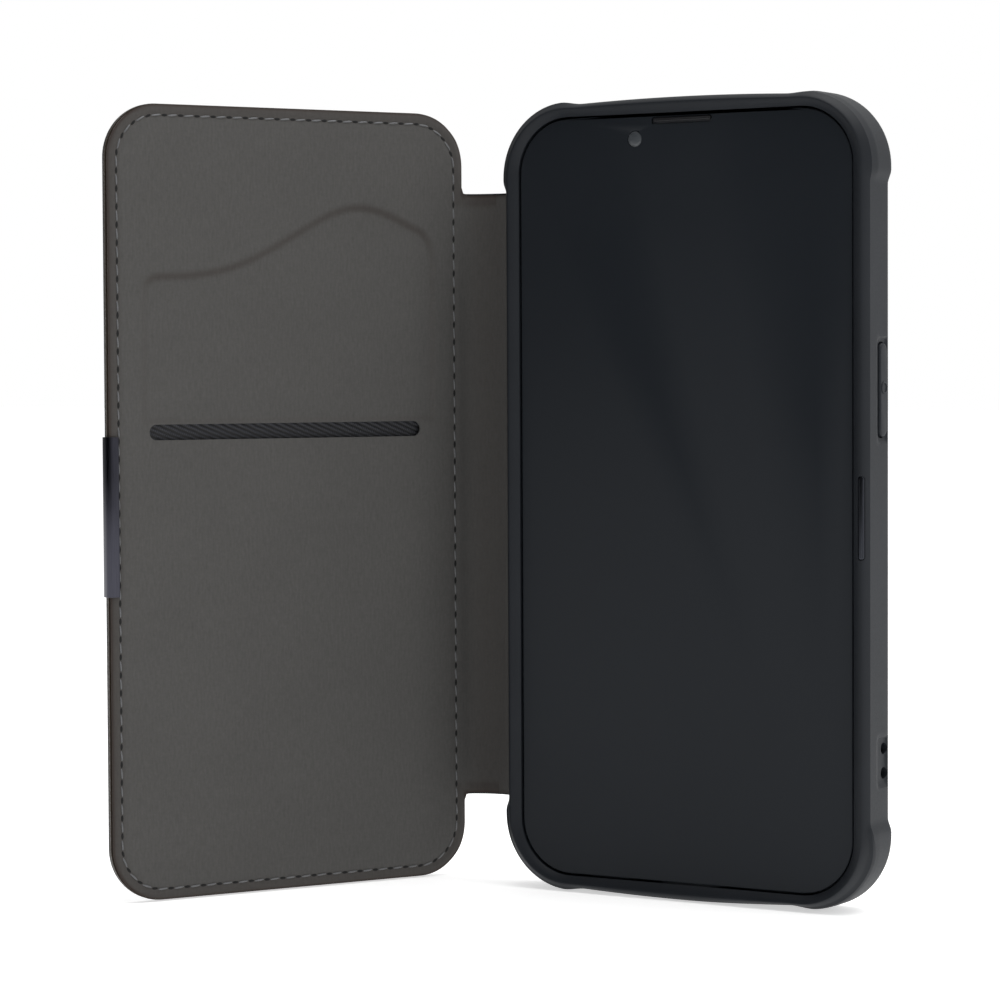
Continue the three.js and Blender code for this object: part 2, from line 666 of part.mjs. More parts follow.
function handset() {
  const glassBack = GLASS_THICKNESS;
  const bodyFront = glassBack + GLUE;
  const earpieceZ = phoneTop - EARPIECE_BELOW_TOP;
  const lensZ = phoneTop - FRONT_LENS_BELOW_TOP;
  const c = DETAIL_CLEARANCE;
  const slot = centredRect(0, earpieceZ, EARPIECE_LENGTH, EARPIECE_HEIGHT, EARPIECE_HEIGHT * 0.45);
  const grille = centredRect(0, earpieceZ, EARPIECE_LENGTH - 2 * c, EARPIECE_HEIGHT - 2 * c,
    EARPIECE_HEIGHT * 0.35);
  const glass = cut(
    slab(phoneOutline(-GLASS_INSET), 0, glassBack),
    slab(slot, -1, glassBack + 1),
    disc(FRONT_LENS_X, lensZ, FRONT_LENS_RADIUS + c, -1, glassBack + 1),
  );
  const body = slab(phoneOutline(0), bodyFront, PHONE_DEPTH, 1.2);
  const plateBack = PHONE_DEPTH + GLUE + CAMERA_PLATE;
  const lensFront = plateBack + GLUE;
  const lensBack = lensFront + REAR_LENS_PROUD;
  const reach = WINDOW_WIDTH / 2 - CAMERA_PLATE_INSET - REAR_LENS_RADIUS - 1.2;
  return [
    part('handset_body', body, FRAME_METAL()),
    part('handset_glass', glass, GLASS()),
    part('earpiece_grille', slab(grille, 0.15, glassBack), MAGNET()),
    part('front_lens', disc(FRONT_LENS_X, lensZ, FRONT_LENS_RADIUS, c, glassBack), LENS()),
    part('rear_camera_plate', slab(windowOutline(-CAMERA_PLATE_INSET), PHONE_DEPTH + GLUE,
      plateBack), FRAME_METAL()),
    part('rear_lens_upper', disc(windowX + reach, windowZ + reach, REAR_LENS_RADIUS, lensFront,
      lensBack), LENS()),
    part('rear_lens_lower', disc(windowX - reach, windowZ - reach, REAR_LENS_RADIUS, lensFront,
      lensBack), LENS()),
    part('rear_flash', disc(windowX - reach, windowZ + reach, FLASH_RADIUS, lensFront,
      lensFront + 0.3), GLASS()),
  ];
}

// ---------------------------------------------------------------- assembly

const tray = group(
  'tray',
  trayShell(),
  bayLining(),
  backBoard(),
  backSkin(),
  cameraRing(),
  closureStrip(),
  buttonCap('power_button', 1, POWER_LENGTH, capY, powerZ),
  buttonCap('volume_up_button', -1, VOLUME_LENGTH, capY, volumeUpZ),
  buttonCap('volume_down_button', -1, VOLUME_LENGTH, capY, volumeDownZ),
  ...handset(),
);

const coverGroup = group('cover', coverLining(), ...coverLayers(), seamThread(), clasp());
coverGroup.position.set(spineWidth, 0, 0);
coverGroup.rotation.z = THREE.MathUtils.degToRad(COVER_ANGLE);

const spineGroup = group('spine', ...spine(), coverGroup);
spineGroup.position.set(foldX, foldY, 0);
spineGroup.rotation.z = Math.PI;

const walletCase = group('phone_wallet_case', tray, spineGroup);
walletCase.updateMatrixWorld(true);
const box = new THREE.Box3().setFromObject(walletCase, true);
walletCase.position.set(-(box.min.x + box.max.x) / 2, -(box.min.y + box.max.y) / 2, -box.min.z);

export default walletCase;
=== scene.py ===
"""Phone wallet case, standing open like a book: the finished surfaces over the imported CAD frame."""
import json
import math

import bpy
import numpy as np
from mathutils import Matrix, Vector


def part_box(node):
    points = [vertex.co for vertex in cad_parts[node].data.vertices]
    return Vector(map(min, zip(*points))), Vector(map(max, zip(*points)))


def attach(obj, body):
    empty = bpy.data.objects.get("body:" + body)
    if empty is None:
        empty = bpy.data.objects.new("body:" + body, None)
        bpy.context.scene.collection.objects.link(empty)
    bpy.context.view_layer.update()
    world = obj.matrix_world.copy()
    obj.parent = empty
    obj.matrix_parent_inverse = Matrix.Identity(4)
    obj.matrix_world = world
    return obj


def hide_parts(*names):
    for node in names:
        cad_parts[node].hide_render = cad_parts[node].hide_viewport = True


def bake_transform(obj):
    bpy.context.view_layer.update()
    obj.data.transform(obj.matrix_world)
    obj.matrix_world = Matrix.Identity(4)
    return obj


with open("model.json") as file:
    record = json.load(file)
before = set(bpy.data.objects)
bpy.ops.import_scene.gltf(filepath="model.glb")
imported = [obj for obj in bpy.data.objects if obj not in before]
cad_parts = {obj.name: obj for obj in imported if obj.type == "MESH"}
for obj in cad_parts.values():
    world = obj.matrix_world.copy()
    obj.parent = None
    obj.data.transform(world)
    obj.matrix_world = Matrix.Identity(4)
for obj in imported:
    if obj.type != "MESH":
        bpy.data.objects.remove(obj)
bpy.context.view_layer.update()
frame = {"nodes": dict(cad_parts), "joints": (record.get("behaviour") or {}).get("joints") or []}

# ---------------------------------------------------------------- camera
# A long lens at the height of the case's upper half, turned a little to the tray's side,
# so that the inside of the cover, the glass and the tray's right-hand wall all show.
MM = 0.001
camera_data = bpy.data.cameras.new("camera")
camera_data.sensor_width = 36
camera_data.lens = 120.87
camera_data.clip_start = 0.02
camera_data.clip_end = 20
camera = bpy.data.objects.new("camera", camera_data)
camera.matrix_world = (
    Matrix.Translation((0.32840, -0.53957, 0.10233))
    @ Matrix.Rotation(math.radians(31.30), 4, "Z")
    @ Matrix.Rotation(math.radians(90 - 2.32), 4, "X")
    @ Matrix.Rotation(math.radians(-0.283), 4, "Z")
)
bpy.context.scene.collection.objects.link(camera)
bpy.context.scene.camera = camera
bpy.context.scene.view_settings.view_transform = "Standard"

# ---------------------------------------------------------------- tray shell
# The moulded tray that grips the handset: soft elastomer, injected in one piece, with a
# rounded lip, raised corner pads and shallow pockets pressed in beside the keys. The floor
# is flat and the lip is a ridge that slopes down to the glass on its inner side.


def linear(hex_colour):
    """A colour written as sRGB hex, as Blender's shaders want it."""
    levels = [int(hex_colour[i : i + 2], 16) / 255 for i in (0, 2, 4)]
    return [*(c / 12.92 if c <= 0.04045 else ((c + 0.055) / 1.055) ** 2.4 for c in levels), 1.0]


def material(name, hex_colour, roughness, **settings):
    """A new material and its shader, with settings that are the same all over it."""
    made = bpy.data.materials.new(name)
    made.use_nodes = True
    shader = made.node_tree.nodes["Principled BSDF"]
    shader.inputs["Base Color"].default_value = linear(hex_colour)
    shader.inputs["Roughness"].default_value = roughness
    for socket, value in settings.items():
        shader.inputs[socket.replace("_", " ")].default_value = value
    return made, shader


def add(shader, kind, inputs, **settings):
    """Adds a node with its settings; an input is a number, a colour or another node's output."""
    tree = shader.id_data
    made = tree.nodes.new(kind)
    for key, value in settings.items():
        setattr(made, key, value)
    for key, value in inputs.items():
        if isinstance(value, bpy.types.NodeSocket):
            tree.links.new(value, made.inputs[key])
        else:
            made.inputs[key].default_value = value
    return made


def link(shader, output, socket):
    shader.id_data.links.new(output, shader.inputs[socket])


# Injection-moulded elastomer: blue-black and matt, with a spark-eroded mould's fine grain.
# The grain is 0.15 mm in the real mould and is drawn at 0.3 mm so that it shows.
elastomer, skin = material("moulded_elastomer", "1E2125", 0.5, IOR=1.48, Specular_IOR_Level=0.2)
place = add(skin, "ShaderNodeTexCoord", {}).outputs["Object"]
grain = add(skin, "ShaderNodeTexNoise", {"Vector": place, "Scale": 3300, "Detail": 3})
cloudy = add(skin, "ShaderNodeTexNoise", {"Vector": place, "Scale": 60, "Detail": 4})
tone = add(skin, "ShaderNodeMix", {"Factor": cloudy.outputs["Fac"], "A": linear("191C20"),
    "B": linear("212429")}, data_type="RGBA")
link(skin, tone.outputs["Result"], "Base Color")
rough = add(skin, "ShaderNodeMapRange", {"Value": grain.outputs["Fac"], "To Min": 0.42,
    "To Max": 0.6})
link(skin, rough.outputs["Result"], "Roughness")
bump = add(skin, "ShaderNodeBump", {"Height": grain.outputs["Fac"], "Strength": 0.25,
    "Distance": 0.03 * MM})
link(skin, bump.outputs["Normal"], "Normal")


def started(name):
    """Names the primitive that was just added and puts its place into its mesh."""
    piece = bpy.context.object
    piece.name = piece.data.name = name
    bpy.ops.object.transform_apply(location=True, rotation=True, scale=True)
    return piece


def points(piece):
    """The mesh's points in millimetres."""
    flat = np.empty(len(piece.data.vertices) * 3)
    piece.data.vertices.foreach_get("co", flat)
    return flat.reshape(-1, 3) / MM


def put(piece, millimetres):
    piece.data.vertices.foreach_set("co", (millimetres * MM).ravel())
    piece.data.update()


def only(piece):
    """Selects this piece and nothing else."""
    bpy.ops.object.select_all(action="DESELECT")
    piece.select_set(True)
    bpy.context.view_layer.objects.active = piece


def finish_with(piece, kind, **settings):
    """Adds a modifier and applies it."""
    only(piece)
    modifier = piece.modifiers.new(kind.title(), kind)
    for key, value in settings.items():
        setattr(modifier, key, value)
    bpy.ops.object.modifier_apply(modifier=modifier.name)


def cut_out(piece, *tools):
    """Cuts the tools' shapes out of the piece and removes the tools."""
    for tool in tools:
        finish_with(piece, "BOOLEAN", object=tool, operation="DIFFERENCE", solver="EXACT")
        bpy.data.objects.remove(tool)


def grid(name, columns, rows):
    """A flat grid of so many lines each way, and each point's column and row number."""
    bpy.ops.object.select_all(action="DESELECT")
    bpy.ops.mesh.primitive_grid_add(x_subdivisions=columns - 1, y_subdivisions=rows - 1, size=1)
    piece = started(name)
    at = points(piece) * MM + 0.5
    column = np.rint(at[:, 0] * (columns - 1)).astype(int)
    row = np.rint(at[:, 1] * (rows - 1)).astype(int)
    return piece, column, row


def smooth(value, low, high):
    """0 below low, 1 above high, and an even S between them."""
    t = np.clip((value - low) / (high - low), 0, 1)
    return t * t * (3 - 2 * t)


def dress(piece, finish, angle=30):
    """One material all over, and soft shading except over real edges."""
    piece.data.materials.clear()
    piece.data.materials.append(finish)
    only(piece)
    bpy.ops.object.shade_smooth_by_angle(angle=math.radians(angle))


def face_out(piece, merge=0.0005):
    """Merges doubled points and turns every face outwards."""
    only(piece)
    bpy.ops.object.mode_set(mode="EDIT")
    bpy.ops.mesh.select_all(action="SELECT")
    bpy.ops.mesh.remove_doubles(threshold=merge * MM)
    bpy.ops.mesh.normals_make_consistent(inside=False)
    bpy.ops.object.mode_set(mode="OBJECT")


def bevelled(piece, test, width, segments, profile=0.5):
    """Bevels the edges whose middle and direction pass the test."""
    only(piece)
    at = points(piece)
    for polygon in piece.data.polygons:
        polygon.select = False
    for vertex in piece.data.vertices:
        vertex.select = False
    for edge in piece.data.edges:
        a, b = (at[i] for i in edge.vertices)
        along = (b - a) / max(np.linalg.norm(b - a), 1e-9)
        edge.select = bool(test((a + b) / 2, along))
    bpy.ops.object.mode_set(mode="EDIT")
    bpy.ops.mesh.select_mode(type="EDGE")
    bpy.ops.mesh.bevel(offset=width * MM, segments=segments, profile=profile, affect="EDGES")
    bpy.ops.object.mode_set(mode="OBJECT")


def block(name, low, high):
    """A box between two corners, in millimetres."""
    low, high = np.array(low, float), np.array(high, float)
    bpy.ops.object.select_all(action="DESELECT")
    bpy.ops.mesh.primitive_cube_add(size=1, location=(low + high) / 2 * MM,
        scale=(high - low) * MM)
    return started(name)


def slab(name, low, high, corner, axis, segments=12):
    """A box whose edges along one axis are rounded to the corner radius."""
    piece = block(name, low, high)
    bevelled(piece, lambda middle, along: abs(along[axis]) > 0.9, corner, segments)
    return piece


def corners_of(node):
    low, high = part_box(node)
    return np.array(low) / MM, np.array(high) / MM


LIP_RIDGE = 0.58            # how far across the wall the lip's ridge stands, from the inside
LIP_LEAN = -0.07            # how far the lip leans in over the gap
LIP_INNER_DROP = 1.0        # ridge to the lip's inner edge
LIP_OUTER_DROP = 1.6        # ridge to the crease along the side wall
LIP_CURVE = 1.75
LIP_ROLL = 1.9
PAD = 0.7                   # the corner pads stand proud of the side walls
PAD_ENDS = 0.5              # and of the end walls
CROWN = 0.5                 # the end walls bow out
SIDE_WALL = 2.9
CLEARANCE = 0.25
EDGE_ROUND = 1.6
FLOOR = 1.45
HANDSET_CORNER = 10.8
STATION = 0.6               # spacing of the mesh along the wall
CORNER_STEPS = 34
LIP_STEPS = 8

shell_low, shell_high = corners_of("tray_shell")
body_low, body_high = corners_of("handset_body")
half_width = (shell_high[0] - shell_low[0]) / 2 - PAD
half_height = (shell_high[2] - shell_low[2]) / 2 - CROWN
centre_x = (shell_low[0] + shell_high[0]) / 2
centre_z = (shell_low[2] + shell_high[2]) / 2
bay_width = (body_high[0] - body_low[0]) / 2 + CLEARANCE
bay_height = (body_high[2] - body_low[2]) / 2 + CLEARANCE
bay_corner = HANDSET_CORNER + CLEARANCE
wall_corner = HANDSET_CORNER + SIDE_WALL
lip_front, tray_back = shell_low[1], shell_high[1]
floor_front = tray_back - FLOOR


def round_outline(wide, tall, corner, across, around):
    """Points on a rounded rectangle about the origin: across each straight and around each
    corner there are so many steps, anticlockwise from the middle of the right-hand side."""
    flat, upright = wide - corner, tall - corner
    quarter = [(wide, upright * i / across[0]) for i in range(across[0])]
    for i in range(around):
        turn = math.pi / 2 * i / around
        quarter.append((flat + corner * math.cos(turn), upright + corner * math.sin(turn)))
    quarter += [(flat * (1 - i / across[1]), tall) for i in range(across[1])]
    quarter = np.array(quarter)
    back = np.flip(quarter[1:], 0)
    top = np.array([(0, tall)])
    right = np.concatenate([quarter, top])
    left = np.stack([-np.flip(right, 0)[1:, 0], np.flip(right, 0)[1:, 1]], 1)
    lower = -right[1:]
    last = np.stack([np.flip(right, 0)[1:-1, 0], -np.flip(right, 0)[1:-1, 1]], 1)
    return np.concatenate([right, left, lower, last])


steps_up = int((half_height - wall_corner) / STATION)
steps_over = int((half_width - wall_corner) / STATION)
straights = (steps_up, steps_over)
outer = round_outline(half_width, half_height, wall_corner, straights, CORNER_STEPS)
inner = round_outline(bay_width, bay_height, bay_corner, straights, CORNER_STEPS)
stations = len(outer)
# The direction out of the wall at each station.
ahead, behind = np.roll(outer, -1, 0), np.roll(outer, 1, 0)
tangent = (ahead - behind) / np.linalg.norm(ahead - behind, axis=1)[:, None]
outward = np.stack([tangent[:, 1], -tangent[:, 0]], 1)

# The section through the wall: share of the way from the bay to the outside, depth, how far
# the pads push that point out, and how far it is set in from the outside.
section = [(0.0, floor_front, 0, 0), (0.0, floor_front - 2.5, 0, 0)]
section += [(0.0, floor_front - 5.5, 0, 0), (LIP_LEAN, lip_front + LIP_INNER_DROP + 0.3, 0, 0)]
for i in range(LIP_STEPS + 1):
    share = LIP_LEAN + (LIP_RIDGE - LIP_LEAN) * i / LIP_STEPS
    drop = LIP_INNER_DROP * (1 - i / LIP_STEPS) ** LIP_CURVE
    section.append((share, lip_front + drop, 0, 0))
for i in range(1, LIP_STEPS + 1):
    away = i / LIP_STEPS
    drop = LIP_OUTER_DROP * away ** LIP_CURVE
    section.append((LIP_RIDGE + (1 - LIP_RIDGE) * away, lip_front + drop, 0.55 * away ** 3, 0))
crease = lip_front + LIP_OUTER_DROP
wall_rows = 18
for i in range(1, wall_rows + 1):
    y = crease + (tray_back - EDGE_ROUND - crease) * i / wall_rows
    section.append((1.0, y, 0.55 + 0.45 * min(1, (y - crease) / 2), 0))
for i in range(1, LIP_STEPS + 1):
    turn = math.pi / 2 * i / LIP_STEPS
    section.append((1.0, tray_back - EDGE_ROUND * (1 - math.sin(turn)), 1,
        EDGE_ROUND * (1 - math.cos(turn))))
section.append((1.0, tray_back, 1, EDGE_ROUND + 1.4))

shell, column, row = grid("tray_moulding", stations + 1, len(section))
column = column % stations
share, depth, padded, inset = (np.array(v)[row] for v in zip(*section))
base = inner[column] + (outer[column] - inner[column]) * share[:, None]
normal = outward[column]
out_x, out_z = outer[column, 0], outer[column, 1]
# Pads on the corners: out along the wall, fading into the straight walls.
on_side = smooth(np.abs(out_z), half_height - wall_corner - 3.2, half_height - wall_corner - 0.6)
on_end = smooth(np.abs(out_x), half_width - wall_corner - 3.6, half_width - wall_corner + 1.5)
facing_side = np.abs(normal[:, 0])
push = padded * (PAD * facing_side * on_side + PAD_ENDS * (1 - facing_side) * on_end)
padded = np.where((out_x < 0) & (share > LIP_RIDGE), np.minimum(1, padded * 1.8), padded)
push = np.where(out_x < 0, padded * (PAD * facing_side * on_side
    + PAD_ENDS * (1 - facing_side) * on_end), push)
lower_corner = (out_z < 0) * (share > 0.9) * (padded > 0)
push = np.where(lower_corner, push / np.maximum(padded, 0.3) ** 0.8, push)
# At the lower right-hand corner the lip rolls further down over the wall.
away = np.clip((share - LIP_RIDGE) / (1 - LIP_RIDGE), 0, 1)
down_wall = 1 - np.clip((depth - crease) / (tray_back - EDGE_ROUND - crease), 0, 1)
rolled = smooth(-out_z, half_height - wall_corner - 2, half_height - wall_corner + 5) \
    * smooth(out_x, 2, 24)
depth = depth + LIP_ROLL * rolled * away ** 1.5 * down_wall
crown = CROWN * np.clip(1 - (out_x / 22.5) ** 2, 0, 1) * (np.abs(normal[:, 1]) > 0.99) * share
# Shallow pockets in the side walls beside the keys and the cord holes.
POCKET_DEPTH = 0.55
CORD_ABOVE_BOTTOM = 25.2
CORD_BEFORE_BACK = 0.45
power_low, power_high = corners_of("power_button")
up_low, up_high = corners_of("volume_up_button")
down_low, down_high = corners_of("volume_down_button")
key_y = (power_low[1] + power_high[1]) / 2
cord_z = body_low[2] + CORD_ABOVE_BOTTOM
cord_y = body_high[1] - CORD_BEFORE_BACK


def pocket(side, low_z, high_z, front):
    z = out_z + centre_z
    along = smooth(z, low_z - 0.9, low_z + 0.2) * (1 - smooth(z, high_z - 0.2, high_z + 0.9))
    on_wall = (share > 0.99) * (np.sign(out_x) == side) * (np.abs(normal[:, 0]) > 0.99)
    return on_wall * along * smooth(depth, front, front + 1.7) * (1 - smooth(depth,
        tray_back - 1.5, tray_back - 0.95))


pressed = pocket(1, power_low[2] + 0.2, power_high[2] - 0.2, key_y - 2.9)
pressed = np.maximum(pressed, pocket(-1, down_low[2] + 0.2, up_high[2] - 0.2, key_y - 2.9))
pressed = np.maximum(pressed, pocket(1, cord_z - 4.1, cord_z + 4.1, key_y - 3.1))
move = push - inset - POCKET_DEPTH * pressed
where = base + normal * move[:, None]
put(shell, np.stack([where[:, 0] + centre_x, depth,
    where[:, 1] + np.sign(out_z) * crown + centre_z], 1))


def fill_rims(piece):
    """Closes each open rim of a mesh with one flat face."""
    only(piece)
    bpy.ops.object.mode_set(mode="EDIT")
    bpy.ops.mesh.select_mode(type="EDGE")
    bpy.ops.mesh.select_all(action="SELECT")
    bpy.ops.mesh.remove_doubles(threshold=0.002 * MM)
    bpy.ops.mesh.select_all(action="DESELECT")
    bpy.ops.mesh.select_non_manifold(extend=False, use_wire=False, use_multi_face=False,
        use_non_contiguous=False, use_verts=False)
    bpy.ops.mesh.edge_face_add()
    bpy.ops.mesh.select_all(action="SELECT")
    bpy.ops.mesh.fill_holes(sides=0)
    bpy.ops.mesh.normals_make_consistent(inside=False)
    bpy.ops.object.mode_set(mode="OBJECT")


fill_rims(shell)

# The openings: keys, side switch, charging port, speaker slots, camera window, the magnet's
# groove and the two cord holes with the channel that joins them behind the wall.
PORT = (12.6, 6.0)
SPEAKER = (9.5, 2.4)
SPEAKER_X = 17.5
SWITCH = (8.4, 4.8)
SWITCH_BELOW_TOP = 28.7
HOLE = 2.2
HOLES_APART = 4.6
KEY_GAP = 0.25
FLANGE = 0.7                # a key's flange reaches this far beyond its cap
GLASS = 0.65
PORT_BEHIND_GLASS = 3.825
SWITCH_BEHIND_GLASS = 4.225
WINDOW_CORNER = 8.0


def through_wall(name, side, middle_y, middle_z, deep, tall, reach_in, reach_out):
    """A round-ended plug that runs through a side wall along X."""
    x0, x1 = sorted((centre_x + side * reach_in, centre_x + side * reach_out))
    return slab(name, (x0, middle_y - deep / 2, middle_z - tall / 2),
        (x1, middle_y + deep / 2, middle_z + tall / 2), min(deep, tall) / 2 * 0.98, 0)


def key_slot(side, low, high):
    deep = high[1] - low[1] - 2 * FLANGE + 2 * KEY_GAP
    tall = high[2] - low[2] - 2 * FLANGE + 2 * KEY_GAP
    middle = (low[2] + high[2]) / 2
    return [
        through_wall("slot", side, key_y, middle, deep, tall, bay_width - 1, half_width + 2),
        through_wall("flange_room", side, key_y, middle, deep + 2 * FLANGE, tall + 2 * FLANGE,
            bay_width - 1, bay_width + 1.4),
    ]


window_low, window_high = corners_of("camera_ring")
RING = 1.9
ring_corner = WINDOW_CORNER + RING
port_y = body_low[1] - GLASS + PORT_BEHIND_GLASS
openings = [
    slab("window", (window_low[0] + RING, floor_front - 3, window_low[2] + RING),
        (window_high[0] - RING, tray_back + 3, window_high[2] - RING), WINDOW_CORNER, 1),
    slab("port", (centre_x - PORT[0] / 2, port_y - PORT[1] / 2, -3),
        (centre_x + PORT[0] / 2, port_y + PORT[1] / 2, 4), PORT[1] / 2.05, 2),
]
for side in (-1, 1):
    x = centre_x + side * SPEAKER_X
    openings.append(slab("speaker", (x - SPEAKER[0] / 2, port_y - SPEAKER[1] / 2, -3),
        (x + SPEAKER[0] / 2, port_y + SPEAKER[1] / 2, 4), SPEAKER[1] / 2.05, 2))
openings += key_slot(1, power_low, power_high)
openings += key_slot(-1, up_low, up_high)
openings += key_slot(-1, down_low, down_high)
openings.append(through_wall("switch", -1, body_low[1] - GLASS + SWITCH_BEHIND_GLASS,
    body_high[2] - SWITCH_BELOW_TOP, SWITCH[1], SWITCH[0], bay_width - 1, half_width + 3))
for end in (-1, 1):
    openings.append(through_wall("cord_hole", 1, cord_y, cord_z + end * HOLES_APART / 2, HOLE,
        HOLE, half_width - 3, half_width + 3))
openings.append(through_wall("cord_channel", 1, cord_y, cord_z, HOLE, HOLES_APART + HOLE,
    half_width - 3, half_width - 1.2))
strip_low, strip_high = corners_of("closure_strip")
openings.append(slab("groove", strip_low - (0.1, 3, 0.1), strip_high + (0.1, 0.1, 0.1), 0.6, 1))
cut_out(shell, *openings)

dress(shell, elastomer, 22)
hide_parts("tray_shell")
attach(shell, "tray")

# ---------------------------------------------------------------- keys
# Three round-ended caps moulded in the same elastomer, each with a flange behind the wall
# that keeps it in. The power key has a small raised ring to find it by touch.
CAP_CORNER = 1.55
FLANGE_THICK = 0.6


def key(name, node, side, body):
    low, high = corners_of(node)
    face = high[0] if side > 0 else low[0]
    back = low[0] if side > 0 else high[0]
    cap = slab(name, (min(back, face), low[1] + FLANGE, low[2] + FLANGE),
        (max(back, face), high[1] - FLANGE, high[2] - FLANGE), CAP_CORNER, 0)
    bevelled(cap, lambda middle, along: abs(middle[0] - face) < 0.01, 0.45, 4)
    flange = slab("flange", (min(back, back + FLANGE_THICK * side), low[1], low[2]),
        (max(back, back + FLANGE_THICK * side), high[1], high[2]), CAP_CORNER, 0)
    finish_with(cap, "BOOLEAN", object=flange, operation="UNION", solver="EXACT")
    bpy.data.objects.remove(flange)
    if name == "power_cap":
        bpy.ops.object.select_all(action="DESELECT")
        bpy.ops.mesh.primitive_torus_add(location=(face * MM, key_y * MM,
            ((low[2] + high[2]) / 2 + 0.4) * MM), rotation=(0, math.pi / 2, 0),
            major_radius=1.0 * MM, minor_radius=0.16 * MM, major_segments=32, minor_segments=8)
        ring = started("ring_mark")
        finish_with(cap, "BOOLEAN", object=ring, operation="UNION", solver="EXACT")
        bpy.data.objects.remove(ring)
    dress(cap, elastomer)
    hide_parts(node)
    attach(cap, body)


key("power_cap", "power_button", 1, "power_button")
key("volume_up_cap", "volume_up_button", -1, "volume_up_button")
key("volume_down_cap", "volume_down_button", -1, "volume_down_button")

# ---------------------------------------------------------------- closure strip
# A thin nickel-plated magnet strip pressed into a groove in the right-hand lip, where the
# cover's clasp lands. Its edge is rounded and its face has fine lengthwise brush marks.
plated, plate = material("brushed_nickel_plate", "5E6066", 0.34, Metallic=1.0, Anisotropic=0.4)
place = add(plate, "ShaderNodeTexCoord", {}).outputs["Object"]
long_way = add(plate, "ShaderNodeMapping", {"Vector": place, "Scale": (9000, 9000, 160)})
brush = add(plate, "ShaderNodeTexNoise", {"Vector": long_way.outputs["Vector"], "Scale": 1})
rough = add(plate, "ShaderNodeMapRange", {"Value": brush.outputs["Fac"], "To Min": 0.28,
    "To Max": 0.46})
link(plate, rough.outputs["Result"], "Roughness")
tone = add(plate, "ShaderNodeMix", {"Factor": brush.outputs["Fac"], "A": linear("2B2D31"),
    "B": linear("3E4046")}, data_type="RGBA")
link(plate, tone.outputs["Result"], "Base Color")

strip = slab("magnet_strip", strip_low, strip_high, 0.5, 1)
bevelled(strip, lambda middle, along: abs(middle[1] - strip_low[1]) < 0.01, 0.2, 3)
dress(strip, plated)
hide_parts("closure_strip")
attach(strip, "tray")

# ---------------------------------------------------------------- bay lining
# A thin sheet of brushed microfibre glued to the tray's floor, with the camera window cut
# out. It is seen only when the handset is out.


def flat_cloth(name, low, high, corner, step):
    """A thin rounded sheet in X and Z, meshed in even squares that follow its corners."""
    columns = int((high[0] - low[0]) / step) + 1
    rows = int((high[2] - low[2]) / step) + 1
    piece, column, row = grid(name, columns, rows)
    x = low[0] + (high[0] - low[0]) * column / (columns - 1)
    z = low[2] + (high[2] - low[2]) * row / (rows - 1)
    x, z = rounded(x, z, low[0], high[0], low[2], high[2], corner)
    put(piece, np.stack([x, np.full(len(x), (low[1] + high[1]) / 2), z], 1))
    return piece


def rounded(x, z, left, right, bottom, top, corner):
    """Bends the squares in each corner of a rectangle of points onto the corner's arc."""
    for edge_x, way_x in ((left, -1), (right, 1)):
        for edge_z, way_z in ((bottom, -1), (top, 1)):
            a = ((x - edge_x) * way_x + corner) / corner
            b = ((z - edge_z) * way_z + corner) / corner
            inside = (a > 0) & (b > 0)
            a, b = np.where(inside, a, 0), np.where(inside, b, 0)
            new_a, new_b = a * np.sqrt(1 - b * b / 2), b * np.sqrt(1 - a * a / 2)
            x = np.where(inside, edge_x + way_x * (new_a - 1) * corner, x)
            z = np.where(inside, edge_z + way_z * (new_b - 1) * corner, z)
    return x, z


def thicken(piece, thickness):
    """Turns a single surface into a sheet of that thickness about it."""
    finish_with(piece, "SOLIDIFY", thickness=thickness * MM, offset=0, use_even_offset=True)


# Brushed microfibre: charcoal and fully matt, with a soft nap. Its fibres are 0.02 mm and are
# drawn at 0.4 mm so that they show.
microfibre, pile = material("brushed_microfibre", "2B2B2D", 0.95, Sheen_Weight=0.35,
    Sheen_Roughness=0.45)
place = add(pile, "ShaderNodeTexCoord", {}).outputs["Object"]
fibres = add(pile, "ShaderNodeTexNoise", {"Vector": place, "Scale": 2400, "Detail": 5})
tone = add(pile, "ShaderNodeMix", {"Factor": fibres.outputs["Fac"], "A": linear("222224"),
    "B": linear("363639")}, data_type="RGBA")
link(pile, tone.outputs["Result"], "Base Color")
bump = add(pile, "ShaderNodeBump", {"Height": fibres.outputs["Fac"], "Strength": 0.5,
    "Distance": 0.05 * MM})
link(pile, bump.outputs["Normal"], "Normal")

bay_low, bay_high = corners_of("bay_lining")
bay = flat_cloth("bay_cloth", bay_low, bay_high, 9.8, 2.4)
thicken(bay, bay_high[1] - bay_low[1])
cut_out(bay, slab("window", (window_low[0] + RING, bay_low[1] - 2, window_low[2] + RING),
    (window_high[0] - RING, bay_high[1] + 2, window_high[2] - RING), WINDOW_CORNER, 1))
dress(bay, microfibre)
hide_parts("bay_lining")
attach(bay, "tray")

# ---------------------------------------------------------------- stiffeners
# Pressed fibre boards, sealed between leather and lining. They are carried over from the
# frame as they are, since nothing of them shows once the case is glued up.

# Pressed fibre board: grey-brown and matt, with flecks of fibre 0.7 mm across.
board, pulp = material("pressed_fibre_board", "8B8578", 0.9)
place = add(pulp, "ShaderNodeTexCoord", {}).outputs["Object"]
specks = add(pulp, "ShaderNodeTexNoise", {"Vector": place, "Scale": 1500, "Detail": 6})
tone = add(pulp, "ShaderNodeMix", {"Factor": specks.outputs["Fac"], "A": linear("6E685C"),
    "B": linear("A39C8D")}, data_type="RGBA")
link(pulp, tone.outputs["Result"], "Base Color")
bump = add(pulp, "ShaderNodeBump", {"Height": specks.outputs["Fac"], "Strength": 0.4,
    "Distance": 0.04 * MM})
link(pulp, bump.outputs["Normal"], "Normal")
for node in ("back_board", "spine_core", "pocket_frame", "cover_board"):
    frame["nodes"][node].data.materials.clear()
    frame["nodes"][node].data.materials.append(board)
frame["nodes"]["cover_magnet"].data.materials.clear()
